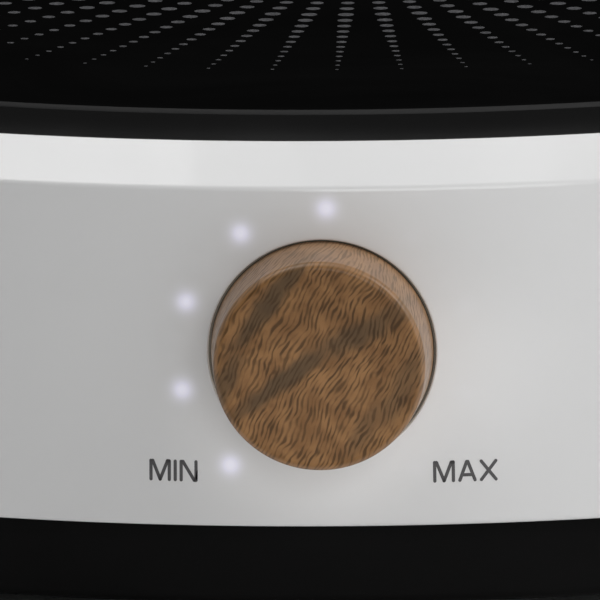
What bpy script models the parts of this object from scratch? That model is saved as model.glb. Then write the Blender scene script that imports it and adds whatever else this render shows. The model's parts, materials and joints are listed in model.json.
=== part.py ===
"""Portable round induction cooktop, made piece by piece as it comes apart on a bench.

Metres, +Z up. The origin is on the floor under the middle of the round body, and the dial faces -Y.
Pieces that turn about the dial's or the fan's axis have their origin on that axis.
"""

import math

import bmesh
import bpy
from mathutils import Matrix, Vector

# ---------------------------------------------------------------- driving dimensions

GAP = 0.0003                      # clearance between neighbouring pieces
SHARP_ANGLE = math.radians(30)
BODY_FACETS = 64
DIAL_FACETS = 40
MID_FACETS = 24
SMALL_FACETS = 12

# Outer body, from the glass down to the floor.
TOP_Z = 0.0740
GLASS_RADIUS = 0.13685
GLASS_THICKNESS = 0.0040
GLASS_BEVEL = 0.0006
SEAL_THICKNESS = 0.0005
BEZEL_RADIUS = 0.1434
BEZEL_DROP = 0.0030
BEZEL_BULGE = 0.0007
BEZEL_SHELF_RADIUS = 0.1280
SHOULDER_RADIUS = 0.1498
SHOULDER_Z = 0.0653
SHOULDER_ROUND = 0.0010
WALL_FOOT_RADIUS = 0.1502
WALL_FOOT_Z = 0.0175
WALL_THICKNESS = 0.0026
HOUSING_SHELF_RADIUS = 0.1395
HOUSING_SHELF_Z = 0.0654
HOUSING_SHELF_THICKNESS = 0.0020
BASE_RADIUS = 0.1440
BASE_Z = 0.0050
BASE_THICKNESS = 0.0020
BASE_RIM_Z = 0.0198
BASE_CHAMFER = 0.0020

# Feet and the screws that hold the base cover.
CORNER_ANGLES = tuple(math.radians(45 + 90 * corner) for corner in range(4))
FOOT_CIRCLE = 0.1120
FOOT_RADIUS = 0.0090
FOOT_STEM_RADIUS = 0.0026
FOOT_STEM_TOP_Z = 0.0085
SCREW_CIRCLE = 0.1320
SCREW_HEAD_RADIUS = 0.0035
SCREW_HEAD_Z = (0.0060, 0.0087)
SCREW_SHANK_RADIUS = 0.0016
SCREW_END_Z = 0.0350
PILLAR_RADIUS = 0.0050
PILLAR_CIRCLE = 0.1365
PILLAR_WEB = (0.0080, 0.0030)
BOSS_RADIUS = 0.0065
BOSS_TOP_Z = 0.0222

# Dial. Distances "out" are measured from the body's axis towards -Y.
DIAL_Z = 0.0422
HOLE_RADIUS = 0.01588
KNOB_FACE_OUT = 0.1608
KNOB_SKIRT_OUT = 0.1485
KNOB_SKIRT_RADIUS = 0.0155
KNOB_FRONT_RADIUS = 0.01475
KNOB_ROUND = 0.0012
KNOB_WALL = 0.0016
KNOB_FACE_THICKNESS = 0.0022
HUB_RADIUS = 0.0052
HUB_END_OUT = 0.1526
SHAFT_RADIUS = 0.0029
SHAFT_END_OUT = 0.1579
BUSHING_BORE = 0.00315
BUSHING_END_OUT = 0.1510
CONTROL_BOARD_OUT = 0.1406
CONTROL_BOARD_SIZE = (0.0720, 0.0440)
CONTROL_POST_X = 0.0320
CONTROL_POST_RADIUS = 0.0025
CONTROL_POST_END = 0.1452
SWITCH_HALF = 0.0060
SWITCH_DEPTH = 0.0060
PRESS_TRAVEL = 0.0012

# Level lamps: nine on an arc about a point close to the dial's axis.
LAMP_COUNT = 9
LAMP_CIRCLE = 0.0206
LAMP_MIDDLE = math.radians(88.8)      # the fifth lamp, almost above the dial
LAMP_STEP = math.radians(35.2)
LAMP_CENTRE = (0.0004, DIAL_Z - 0.0003)
LAMP_HALF_SIZE = (0.0014, 0.0008, 0.0009)      # half of its width, half of its height, its depth
GUIDE_RADII = (0.0194, 0.0220)
COLLAR_RADII = (0.0157, 0.0168)
COLLAR_END_OUT = 0.1460

# Coil and what is under the glass.
COIL_INNER_RADIUS = 0.0270
COIL_OUTER_RADIUS = 0.0880
COIL_TURNS = 10
COIL_STEPS_PER_TURN = 18
COIL_WIRE = (0.0042, 0.0036)
FORMER_RADIUS = 0.0920
FORMER_Z = 0.0627
FORMER_THICKNESS = 0.0020
FORMER_CUP_RADIUS = 0.0105
FORMER_CUP_DEPTH = 0.0072
FORMER_CUP_WALL = 0.0015
FORMER_LEG_RADIUS = 0.0040
FORMER_LEG_CIRCLE = 0.0840
FORMER_LEG_ANGLES = tuple(math.radians(angle) for angle in (90, 210, 300))
FERRITE_SIZE = (0.0580, 0.0120, 0.0040)
FERRITE_MIDDLE = 0.0580
FERRITE_ANGLES = tuple(math.radians(15 + 60 * bar) for bar in range(6))

# Fan, to the left and behind the middle.
FAN_X, FAN_Y = -0.0620, 0.0350
FAN_SIZE = 0.0800
FAN_BASE_Z = 0.0073
FAN_HEIGHT = 0.0200
FAN_BORE = 0.0375
FAN_HUB_RADIUS = 0.0130
FAN_BLADES = 7
FAN_SHAFT_RADIUS = 0.0013

# Vents through the base cover: intake under the fan, outlet at the back.
INTAKE_SLOTS = 9
INTAKE_PITCH = 0.0075
INTAKE_WIDTH = 0.0040
INTAKE_RADIUS = 0.0340
OUTLET_SLOTS = 13
OUTLET_STEP = math.radians(5)
OUTLET_WIDTH = 0.0045
OUTLET_Z = (0.0085, 0.0155)

# Main board, to the right of the fan, and the level that its components stand on.
BOARD_X = (-0.0150, 0.1000)
BOARD_Y = (-0.0600, 0.0550)
BOARD_Z = 0.0123
BOARD_THICKNESS = 0.0016
STANDOFF_INSET = 0.0060
PARTS_Z = BOARD_Z + BOARD_THICKNESS + GAP
SINK_BASE_Z = 0.0220

# Cord gland at the back, and its nut inside the wall.
GLAND_Z = 0.0380
GLAND_BORE = 0.0039
GLAND_SLEEVE = 0.0072
GLAND_FLANGE = 0.0100
GLAND_HOLE = 0.0075
GLAND_INNER_END = 0.1390
GLAND_END_OUT = KNOB_FACE_OUT     # as far out as the knob, so that the middle stays the middle
GLAND_NUT_RADIUS = 0.0110
GLAND_NUT = (0.1425, 0.1463)


# ---------------------------------------------------------------- materials

def finish(name, colour, roughness, metallic=0.0):
    """A plain Principled BSDF material of one colour."""
    material = bpy.data.materials.new(name)
    material.use_nodes = True
    shader = material.node_tree.nodes["Principled BSDF"]
    shader.inputs["Base Color"].default_value = (*colour, 1.0)
    shader.inputs["Roughness"].default_value = roughness
    shader.inputs["Metallic"].default_value = metallic
    material.diffuse_color = (*colour, 1.0)
    return material


# ---------------------------------------------------------------- shape builders

def add_object(name, bm, material=None, location=(0, 0, 0), rotation=(0, 0, 0)):
    """Turn a bmesh into a named object with smooth shading and sharp corners."""
    bmesh.ops.recalc_face_normals(bm, faces=bm.faces)
    mesh = bpy.data.meshes.new(name)
    bm.to_mesh(mesh)
    bm.free()
    mesh.shade_smooth()
    mesh.set_sharp_from_angle(angle=SHARP_ANGLE)
    if material:
        mesh.materials.append(material)
    made = bpy.data.objects.new(name, mesh)
    made.location = location
    made.rotation_euler = rotation
    bpy.context.scene.collection.objects.link(made)
    return made


FACING_FRONT = (math.pi / 2, 0, 0)      # the object's own +Z points to -Y
FACING_BACK = (-math.pi / 2, 0, 0)      # the object's own +Z points to +Y


def turned(name, profile, material=None, facets=BODY_FACETS, ring=True, **place):
    """Spin (radius, height) points about the object's own Z axis.

    A ring's profile closes on itself. Otherwise its two ends lie on the axis.
    """
    bm = bmesh.new()
    points = [bm.verts.new((radius, 0, height)) for radius, height in profile]
    pairs = list(zip(points, points[1:]))
    if ring:
        pairs.append((points[-1], points[0]))
    edges = [bm.edges.new(pair) for pair in pairs]
    bmesh.ops.spin(
        bm,
        geom=points + edges,
        cent=(0, 0, 0),
        axis=(0, 0, 1),
        angle=2 * math.pi,
        steps=facets,
        use_merge=True,
    )
    bmesh.ops.remove_doubles(bm, verts=bm.verts, dist=1e-6)
    return add_object(name, bm, material, **place)


def rod(name, radius, low, high, material=None, facets=SMALL_FACETS, **place):
    """A plain round bar along the object's own Z axis."""
    profile = [(0, low), (radius, low), (radius, high), (0, high)]
    return turned(name, profile, material, facets, ring=False, **place)


def tube(name, inner, outer, low, high, material=None, facets=SMALL_FACETS, **place):
    """A plain round sleeve along the object's own Z axis."""
    profile = [(inner, low), (outer, low), (outer, high), (inner, high)]
    return turned(name, profile, material, facets, **place)


def add_box(bm, low, high, turn=None):
    """Add a block between two opposite corners, then turn it with a matrix."""
    low, high = Vector(low), Vector(high)
    place = Matrix.Translation((low + high) / 2) @ Matrix.Diagonal((*(high - low), 1))
    bmesh.ops.create_cube(bm, size=1, matrix=(turn or Matrix()) @ place)


def block(name, low, high, material=None, bevel=0.0, segments=2, **place):
    """A block between two opposite corners, with its edges rounded by bevel."""
    bm = bmesh.new()
    add_box(bm, low, high)
    if bevel:
        bmesh.ops.bevel(bm, geom=bm.edges[:], offset=bevel, segments=segments,
                        profile=0.5, affect="EDGES")
    return add_object(name, bm, material, **place)


def blocks(name, boxes, material=None, **place):
    """Several separate blocks in one object, each as (low corner, high corner, turn)."""
    bm = bmesh.new()
    for low, high, turn in boxes:
        add_box(bm, low, high, turn)
    return add_object(name, bm, material, **place)


def add_prism(bm, outline, low, high):
    """Raise a flat outline of (x, y) points from one height to another."""
    face = bm.faces.new([bm.verts.new((x, y, low)) for x, y in outline])
    raised = bmesh.ops.extrude_face_region(bm, geom=[face])["geom"]
    tops = [item for item in raised if isinstance(item, bmesh.types.BMVert)]
    bmesh.ops.translate(bm, verts=tops, vec=(0, 0, high - low))


def prism(name, outline, low, high, material=None, **place):
    """One solid raised from a flat outline."""
    bm = bmesh.new()
    add_prism(bm, outline, low, high)
    return add_object(name, bm, material, **place)


def winding(name, turns, steps, radii, heights, section, material, location):
    """Sweep a section of (radial, vertical) offsets along a flat or rising spiral."""
    bm = bmesh.new()
    rings = []
    count = int(turns * steps)
    for step in range(count + 1):
        share = step / count
        angle = 2 * math.pi * step / steps
        radius = radii[0] + (radii[1] - radii[0]) * share
        height = heights[0] + (heights[1] - heights[0]) * share
        outward = Vector((math.cos(angle), math.sin(angle), 0))
        rings.append([
            bm.verts.new(outward * (radius + across) + Vector((0, 0, height + up)))
            for across, up in section
        ])
    for before, after in zip(rings, rings[1:]):
        for side in range(len(section)):
            following = (side + 1) % len(section)
            bm.faces.new((before[side], before[following], after[following], after[side]))
    bm.faces.new(rings[0])
    bm.faces.new(rings[-1])
    return add_object(name, bm, material, location=location)


def combine(target, tool, operation):
    """Cut a helper from a piece (DIFFERENCE) or grow the piece by it (UNION)."""
    modifier = target.modifiers.new(tool.name, "BOOLEAN")
    modifier.object = tool
    modifier.operation = operation
    modifier.solver = "EXACT"
    tool.hide_render = True
    tool.display_type = "WIRE"


def cut(target, *tools):
    for tool in tools:
        combine(target, tool, "DIFFERENCE")


def join(target, *tools):
    for tool in tools:
        combine(target, tool, "UNION")


def arc(radius, start, end, steps, centre=(0, 0)):
    """Points along an arc, from one angle to another."""
    angles = [start + (end - start) * step / steps for step in range(steps + 1)]
    return [
        (centre[0] + radius * math.cos(angle), centre[1] + radius * math.sin(angle))
        for angle in angles
    ]


def at_angle(radius, angle, height=0.0):
    return (radius * math.cos(angle), radius * math.sin(angle), height)


# ---------------------------------------------------------------- outer body

def wall_radius(height):
    """Outer radius of the slightly drafted side wall at a height."""
    share = (height - WALL_FOOT_Z) / (SHOULDER_Z - WALL_FOOT_Z)
    return WALL_FOOT_RADIUS + (SHOULDER_RADIUS - WALL_FOOT_RADIUS) * share


def make_glass():
    glass = finish("black_glass", (0.012, 0.012, 0.013), 0.05)
    low = TOP_Z - GLASS_THICKNESS
    profile = [
        (0, low),
        (GLASS_RADIUS, low),
        (GLASS_RADIUS, TOP_Z - GLASS_BEVEL),
        (GLASS_RADIUS - GLASS_BEVEL, TOP_Z),
        (0, TOP_Z),
    ]
    turned("glass_plate", profile, glass, ring=False)

    silicone = finish("grey_silicone", (0.25, 0.25, 0.25), 0.6)
    tube("glass_seal", BEZEL_SHELF_RADIUS + 0.002, GLASS_RADIUS - 0.001,
         low - GAP - SEAL_THICKNESS, low - GAP, silicone, DIAL_FACETS)


def make_bezel():
    """Black ring round the glass: a bulged outer slope and a shelf under the glass."""
    gloss = finish("black_gloss_plastic", (0.012, 0.012, 0.014), 0.12)
    low = HOUSING_SHELF_Z + HOUSING_SHELF_THICKNESS + GAP
    shelf_top = TOP_Z - GLASS_THICKNESS - SEAL_THICKNESS - 2 * GAP
    inner = GLASS_RADIUS + GAP
    edge_z = TOP_Z - BEZEL_DROP
    crest_z = TOP_Z - GLASS_BEVEL
    slope = []
    steps = 3
    for step in range(steps + 1):
        share = step / steps
        bulge = BEZEL_BULGE * math.sin(math.pi * share)
        radius = inner + (BEZEL_RADIUS - inner) * share + 0.4 * bulge
        slope.append((radius, crest_z + (edge_z - crest_z) * share + bulge))
    profile = [
        *slope,
        (BEZEL_RADIUS, low),
        (BEZEL_SHELF_RADIUS, low),
        (BEZEL_SHELF_RADIUS, shelf_top),
        (inner, shelf_top),
    ]
    turned("bezel_ring", profile, gloss)


def make_housing():
    """White side wall with a sloped shoulder, an inner shelf, and its bosses inside."""
    white = finish("white_gloss_plastic", (0.80, 0.80, 0.80), 0.22)
    seat = BEZEL_RADIUS + GAP
    edge_z = TOP_Z - BEZEL_DROP
    shelf_top = HOUSING_SHELF_Z + HOUSING_SHELF_THICKNESS
    shelf_wall = wall_radius(SHOULDER_Z) - WALL_THICKNESS
    slope = math.atan2(edge_z - SHOULDER_Z, SHOULDER_RADIUS - seat)
    shoulder = [
        (SHOULDER_RADIUS - SHOULDER_ROUND * math.cos(slope),
         SHOULDER_Z + SHOULDER_ROUND * math.sin(slope)),
        (SHOULDER_RADIUS - 0.2 * SHOULDER_ROUND, SHOULDER_Z + 0.2 * SHOULDER_ROUND),
        (SHOULDER_RADIUS, SHOULDER_Z - 0.7 * SHOULDER_ROUND),
    ]
    profile = [
        (seat, edge_z),
        *shoulder,
        (WALL_FOOT_RADIUS, WALL_FOOT_Z),
        (WALL_FOOT_RADIUS - WALL_THICKNESS, WALL_FOOT_Z),
        (shelf_wall, HOUSING_SHELF_Z),
        (HOUSING_SHELF_RADIUS, HOUSING_SHELF_Z),
        (HOUSING_SHELF_RADIUS, shelf_top),
        (seat, shelf_top),
    ]
    housing = turned("housing_shell", profile, white)

    for number, angle in enumerate(CORNER_ANGLES, 1):
        foot = at_angle(PILLAR_CIRCLE, angle)
        low = BOSS_TOP_Z + GAP
        reach, thick = PILLAR_WEB
        pillar = rod(f"pillar_{number}", PILLAR_RADIUS, low, shelf_top - 2 * GAP,
                     location=foot)
        web = block(f"pillar_web_{number}", (0, -thick / 2, low + 0.004),
                    (reach, thick / 2, HOUSING_SHELF_Z + 0.001),
                    location=foot, rotation=(0, 0, angle))
        bore = rod(f"pillar_bore_{number}", SCREW_SHANK_RADIUS + GAP, low - 0.001,
                   SCREW_END_Z + 0.001, location=at_angle(SCREW_CIRCLE, angle))
        join(housing, pillar, web)
        cut(housing, bore)

    for number, side in enumerate((-1, 1), 1):
        post = rod(f"board_post_{number}", CONTROL_POST_RADIUS, CONTROL_BOARD_OUT + GAP,
                   CONTROL_POST_END, location=(side * CONTROL_POST_X, 0, DIAL_Z),
                   rotation=FACING_FRONT)
        join(housing, post)

    dial_hole = rod("dial_hole", HOLE_RADIUS, 0.1300, 0.1600, facets=DIAL_FACETS,
                    location=(0, 0, DIAL_Z), rotation=FACING_FRONT)
    gland_hole = rod("gland_hole", GLAND_HOLE, 0.1300, 0.1600, facets=MID_FACETS,
                     location=(0, 0, GLAND_Z), rotation=FACING_BACK)
    cut(housing, dial_hole, gland_hole)


def make_base_cover():
    """Black tray that closes the body from below, with vents, bosses and standoffs."""
    black = finish("black_matte_plastic", (0.012, 0.012, 0.013), 0.45)
    floor_z = BASE_Z + BASE_THICKNESS
    inner = BASE_RADIUS - BASE_THICKNESS
    profile = [
        (0, BASE_Z),
        (BASE_RADIUS - BASE_CHAMFER, BASE_Z),
        (BASE_RADIUS, BASE_Z + BASE_CHAMFER),
        (BASE_RADIUS, BASE_RIM_Z),
        (inner, BASE_RIM_Z),
        (inner, floor_z),
        (0, floor_z),
    ]
    base = turned("base_cover", profile, black, ring=False)

    for number, angle in enumerate(CORNER_ANGLES, 1):
        spot = at_angle(SCREW_CIRCLE, angle)
        boss = rod(f"boss_{number}", BOSS_RADIUS, BASE_Z + 0.001, BOSS_TOP_Z, location=spot)
        bore = rod(f"boss_bore_{number}", SCREW_SHANK_RADIUS + GAP, 0, 0.03, location=spot)
        well = rod(f"screw_well_{number}", SCREW_HEAD_RADIUS + GAP, 0, SCREW_HEAD_Z[1] + GAP,
                   location=spot)
        stem_hole = rod(f"stem_hole_{number}", FOOT_STEM_RADIUS + GAP, 0, 0.0120,
                        location=at_angle(FOOT_CIRCLE, angle))
        join(base, boss)
        cut(base, bore, well, stem_hole)

    corners = [(x, y) for x in (BOARD_X[0] + STANDOFF_INSET, BOARD_X[1] - STANDOFF_INSET)
               for y in (BOARD_Y[0] + STANDOFF_INSET, BOARD_Y[1] - STANDOFF_INSET)]
    for number, (x, y) in enumerate(corners, 1):
        join(base, rod(f"standoff_{number}", 0.0030, BASE_Z + 0.001, BOARD_Z - GAP,
                       location=(x, y, 0)))

    slots = []
    for slot in range(INTAKE_SLOTS):
        across = (slot - (INTAKE_SLOTS - 1) / 2) * INTAKE_PITCH
        reach = math.sqrt(INTAKE_RADIUS ** 2 - across ** 2)
        x = FAN_X + across
        slots.append(((x - INTAKE_WIDTH / 2, FAN_Y - reach, 0),
                      (x + INTAKE_WIDTH / 2, FAN_Y + reach, floor_z + 0.003), None))
    for slot in range(OUTLET_SLOTS):
        angle = math.pi / 2 + (slot - (OUTLET_SLOTS - 1) / 2) * OUTLET_STEP
        slots.append(((inner - 0.004, -OUTLET_WIDTH / 2, OUTLET_Z[0]),
                      (BASE_RADIUS + 0.004, OUTLET_WIDTH / 2, OUTLET_Z[1]),
                      Matrix.Rotation(angle, 4, "Z")))
    cut(base, blocks("vent_slots", slots))


def make_feet_and_screws():
    rubber = finish("black_rubber", (0.02, 0.02, 0.02), 0.8)
    steel = finish("zinc_steel", (0.55, 0.55, 0.56), 0.35, 1.0)
    foot_top = BASE_Z - GAP
    foot = [
        (0, 0),
        (FOOT_RADIUS - 0.001, 0),
        (FOOT_RADIUS, 0.001),
        (FOOT_RADIUS, foot_top),
        (FOOT_STEM_RADIUS, foot_top),
        (FOOT_STEM_RADIUS, FOOT_STEM_TOP_Z),
        (0, FOOT_STEM_TOP_Z),
    ]
    head_low, head_high = SCREW_HEAD_Z
    screw = [
        (0, head_low + 0.0018),
        (0.0010, head_low + 0.0006),
        (0.0026, head_low),
        (SCREW_HEAD_RADIUS, head_low + 0.0008),
        (SCREW_HEAD_RADIUS, head_high),
        (SCREW_SHANK_RADIUS, head_high),
        (SCREW_SHANK_RADIUS, SCREW_END_Z - 0.0015),
        (0, SCREW_END_Z),
    ]
    for number, angle in enumerate(CORNER_ANGLES, 1):
        turned(f"foot_{number}", foot, rubber, MID_FACETS, ring=False,
               location=at_angle(FOOT_CIRCLE, angle))
        turned(f"base_screw_{number}", screw, steel, SMALL_FACETS, ring=False,
               location=at_angle(SCREW_CIRCLE, angle))


# ---------------------------------------------------------------- coil under the glass

def make_coil_stack():
    former_plastic = finish("brown_former_plastic", (0.10, 0.07, 0.05), 0.6)
    copper = finish("litz_copper", (0.60, 0.27, 0.12), 0.4, 1.0)
    mica = finish("mica_sheet", (0.45, 0.38, 0.28), 0.5)
    ferrite = finish("grey_ferrite", (0.06, 0.06, 0.065), 0.7)

    former_top = FORMER_Z + FORMER_THICKNESS
    cup_low = FORMER_Z - FORMER_CUP_DEPTH
    cup_floor = cup_low + FORMER_CUP_WALL
    lead_hole = 0.0020
    former = turned("coil_former", [
        (lead_hole, cup_floor),
        (FORMER_CUP_RADIUS - FORMER_CUP_WALL, cup_floor),
        (FORMER_CUP_RADIUS - FORMER_CUP_WALL, former_top),
        (FORMER_RADIUS, former_top),
        (FORMER_RADIUS, FORMER_Z),
        (FORMER_CUP_RADIUS, FORMER_Z),
        (FORMER_CUP_RADIUS, cup_low),
        (lead_hole, cup_low),
    ], former_plastic, MID_FACETS)
    for number, angle in enumerate(FORMER_LEG_ANGLES, 1):
        join(former, rod(f"former_leg_{number}", FORMER_LEG_RADIUS,
                         BASE_Z + BASE_THICKNESS + GAP, FORMER_Z + 0.001,
                         location=at_angle(FORMER_LEG_CIRCLE, angle)))

    wide, tall = COIL_WIRE
    section = [(-wide / 2, 0), (wide / 2, 0), (wide / 2, tall), (-wide / 2, tall)]
    coil_z = former_top + GAP
    winding("litz_coil", COIL_TURNS, COIL_STEPS_PER_TURN,
            (COIL_INNER_RADIUS, COIL_OUTER_RADIUS), (0, 0), section, copper, (0, 0, coil_z))

    sheet_z = coil_z + tall + GAP
    sensor_window, sheet_thickness = 0.0080, 0.0005
    tube("mica_sheet", sensor_window, FORMER_RADIUS, sheet_z, sheet_z + sheet_thickness,
         mica, MID_FACETS)

    length, width, height = FERRITE_SIZE
    for number, angle in enumerate(FERRITE_ANGLES, 1):
        block(f"ferrite_bar_{number}",
              (FERRITE_MIDDLE - length / 2, -width / 2, FORMER_Z - GAP - height),
              (FERRITE_MIDDLE + length / 2, width / 2, FORMER_Z - GAP),
              ferrite, rotation=(0, 0, angle))


def make_thermistor():
    """Temperature sensor pressed against the glass by a small spring."""
    ceramic = finish("white_ceramic", (0.75, 0.74, 0.70), 0.4)
    steel = finish("spring_steel", (0.50, 0.50, 0.52), 0.3, 1.0)
    cap_top = TOP_Z - GLASS_THICKNESS - GAP
    cap_low = cap_top - 0.0022
    rim_low = cap_top - 0.0014
    seat_radius, rim_radius, edge = 0.0045, 0.0060, 0.0004
    turned("thermistor_cap", [
        (0, cap_low),
        (seat_radius, cap_low),
        (seat_radius, rim_low),
        (rim_radius, rim_low),
        (rim_radius, cap_top - edge),
        (rim_radius - edge, cap_top),
        (0, cap_top),
    ], ceramic, SMALL_FACETS, ring=False)

    wire, coil_radius, turns = 0.0004, 0.0052, 4
    section = arc(wire, 0, math.radians(270), 3)
    spring_low = FORMER_Z - FORMER_CUP_DEPTH + FORMER_CUP_WALL + GAP + wire
    spring_high = cap_low - GAP - wire
    winding("thermistor_spring", turns, 10, (coil_radius, coil_radius),
            (spring_low, spring_high), section, steel, (0, 0, 0))


# ---------------------------------------------------------------- boards and components

def legs(name, count, first_x, pitch, face_y):
    """Bent flat leads: out from under a component, then down to the board."""
    half, thick, reach, knee = 0.0006, 0.0008, 0.0040, 0.0195
    flats, drops = [], []
    for leg in range(count):
        x, end_y = first_x + pitch * leg, face_y - reach
        flats.append(((x - half, end_y, knee - thick), (x + half, face_y + 0.0010, knee), None))
        drops.append(((x - half, end_y, PARTS_Z), (x + half, end_y + thick, knee), None))
    made = blocks(name, flats)
    join(made, blocks(f"{name}_drops", drops))
    return made


def make_main_board():
    laminate = finish("green_laminate", (0.02, 0.12, 0.05), 0.45)
    board = block("main_board", (BOARD_X[0], BOARD_Y[0], BOARD_Z),
                  (BOARD_X[1], BOARD_Y[1], BOARD_Z + BOARD_THICKNESS), laminate)
    ends = (BOARD_X[0] + STANDOFF_INSET, BOARD_X[1] - STANDOFF_INSET)
    for number, x in enumerate(ends, 1):
        cut(board, rod(f"board_hole_{number}", SCREW_SHANK_RADIUS, 0, 2 * BOARD_Z,
                       location=(x, BOARD_Y[0] + STANDOFF_INSET, 0)))


def make_heat_sink():
    aluminium = finish("bare_aluminium", (0.75, 0.75, 0.76), 0.35, 1.0)
    fins, fin, pitch = 9, 0.0016, 0.0055
    first_y, low_x, length = 0.0000, -0.0100, 0.0560
    root, tip, overhang = SINK_BASE_Z + 0.0040, 0.0460, 0.0010
    last_y = first_y + pitch * (fins - 1) + fin
    outline = [
        (first_y - overhang, SINK_BASE_Z),
        (last_y + overhang, SINK_BASE_Z),
        (last_y + overhang, root),
    ]
    for number in reversed(range(fins)):
        y = first_y + pitch * number
        outline += [(y + fin, root), (y + fin, tip), (y, tip), (y, root)]
    outline.append((first_y - overhang, root))
    # Drawn in (y, z), raised along the block's length, then stood upright along X.
    bm = bmesh.new()
    add_prism(bm, outline, low_x, low_x + length)
    upright = Matrix(((0, 0, 1, 0), (1, 0, 0, 0), (0, 1, 0, 0), (0, 0, 0, 1)))
    bmesh.ops.transform(bm, matrix=upright, verts=bm.verts)
    add_object("heat_sink", bm, aluminium)


def make_power_parts():
    epoxy = finish("black_epoxy", (0.02, 0.02, 0.02), 0.4)
    thick, front_y = 0.0050, 0.0120
    high = SINK_BASE_Z - GAP
    low = high - thick
    transistor = block("power_transistor", (-0.0060, front_y, low), (0.0100, 0.0330, high), epoxy)
    join(transistor, legs("transistor_legs", 3, -0.0035, 0.0055, front_y))
    bridge = block("bridge_rectifier", (0.0160, front_y, low), (0.0440, 0.0300, high), epoxy)
    join(bridge, legs("bridge_legs", 4, 0.0195, 0.0070, front_y))


def make_capacitors():
    blue = finish("blue_film_box", (0.05, 0.12, 0.35), 0.35)
    yellow = finish("yellow_film_box", (0.65, 0.45, 0.08), 0.35)
    edge = 0.0010
    block("resonant_capacitor", (0.0540, -0.0400, PARTS_Z), (0.0860, -0.0200, 0.0400),
          blue, bevel=edge, segments=1)
    block("filter_capacitor", (0.0580, -0.0060, PARTS_Z), (0.0840, 0.0090, 0.0350),
          yellow, bevel=edge, segments=1)


def make_choke():
    """A ring core with its winding drawn as a row of bumps."""
    enamel = finish("enamelled_copper", (0.55, 0.20, 0.08), 0.3, 1.0)
    ring_radius, wire_radius, bumps, sides = 0.0105, 0.0048, 12, 6
    bm = bmesh.new()
    rings = []
    for step in range(2 * bumps):
        angle = math.pi * step / bumps
        thick = wire_radius - (0.0005 if step % 2 else 0.0)
        rings.append([
            bm.verts.new((math.cos(angle) * (ring_radius + across),
                          math.sin(angle) * (ring_radius + across), up))
            for across, up in arc(thick, 0, 2 * math.pi * (1 - 1 / sides), sides - 1)
        ])
    for step, ring in enumerate(rings):
        after = rings[(step + 1) % len(rings)]
        for side in range(sides):
            following = (side + 1) % sides
            bm.faces.new((ring[side], ring[following], after[following], after[side]))
    add_object("choke", bm, enamel, location=(0.0300, -0.0350, PARTS_Z + wire_radius))


def make_fuse_and_buzzer():
    fuse_glass = finish("fuse_body", (0.80, 0.80, 0.82), 0.2)
    cap_radius, glass_radius, half, cap_length = 0.0029, 0.0026, 0.0100, 0.0050
    turned("fuse", [
        (0, -half),
        (cap_radius, -half),
        (cap_radius, cap_length - half),
        (glass_radius, cap_length - half),
        (glass_radius, half - cap_length),
        (cap_radius, half - cap_length),
        (cap_radius, half),
        (0, half),
    ], fuse_glass, SMALL_FACETS, ring=False,
        location=(0.0050, -0.0530, PARTS_Z + cap_radius), rotation=(0, math.pi / 2, 0))

    buzzer_black = finish("buzzer_plastic", (0.03, 0.03, 0.03), 0.5)
    radius, height, edge, sound_hole = 0.0060, 0.0090, 0.0005, (0.0012, 0.0020)
    top = PARTS_Z + height
    turned("buzzer", [
        (0, PARTS_Z),
        (radius, PARTS_Z),
        (radius, top - edge),
        (radius - edge, top),
        (sound_hole[0], top),
        (sound_hole[0], top - sound_hole[1]),
        (0, top - sound_hole[1]),
    ], buzzer_black, SMALL_FACETS, ring=False, location=(-0.0020, -0.0300, 0))


def make_terminal_block():
    terminal_green = finish("terminal_plastic", (0.08, 0.35, 0.16), 0.4)
    terminal = block("terminal_block", (0.0560, 0.0380, PARTS_Z), (0.0860, 0.0500, 0.0270),
                     terminal_green)
    poles, first_x, pitch, screw_radius, entry_half = 3, 0.0610, 0.0100, 0.0030, 0.0020
    for pole in range(poles):
        x = first_x + pitch * pole
        screw = rod(f"terminal_screw_{pole + 1}", screw_radius, 0.0220, 0.0300,
                    location=(x, 0.0440, 0))
        entry = block(f"terminal_entry_{pole + 1}", (x - entry_half, 0.0470, 0.0160),
                      (x + entry_half, 0.0540, 0.0200))
        cut(terminal, screw, entry)


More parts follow.
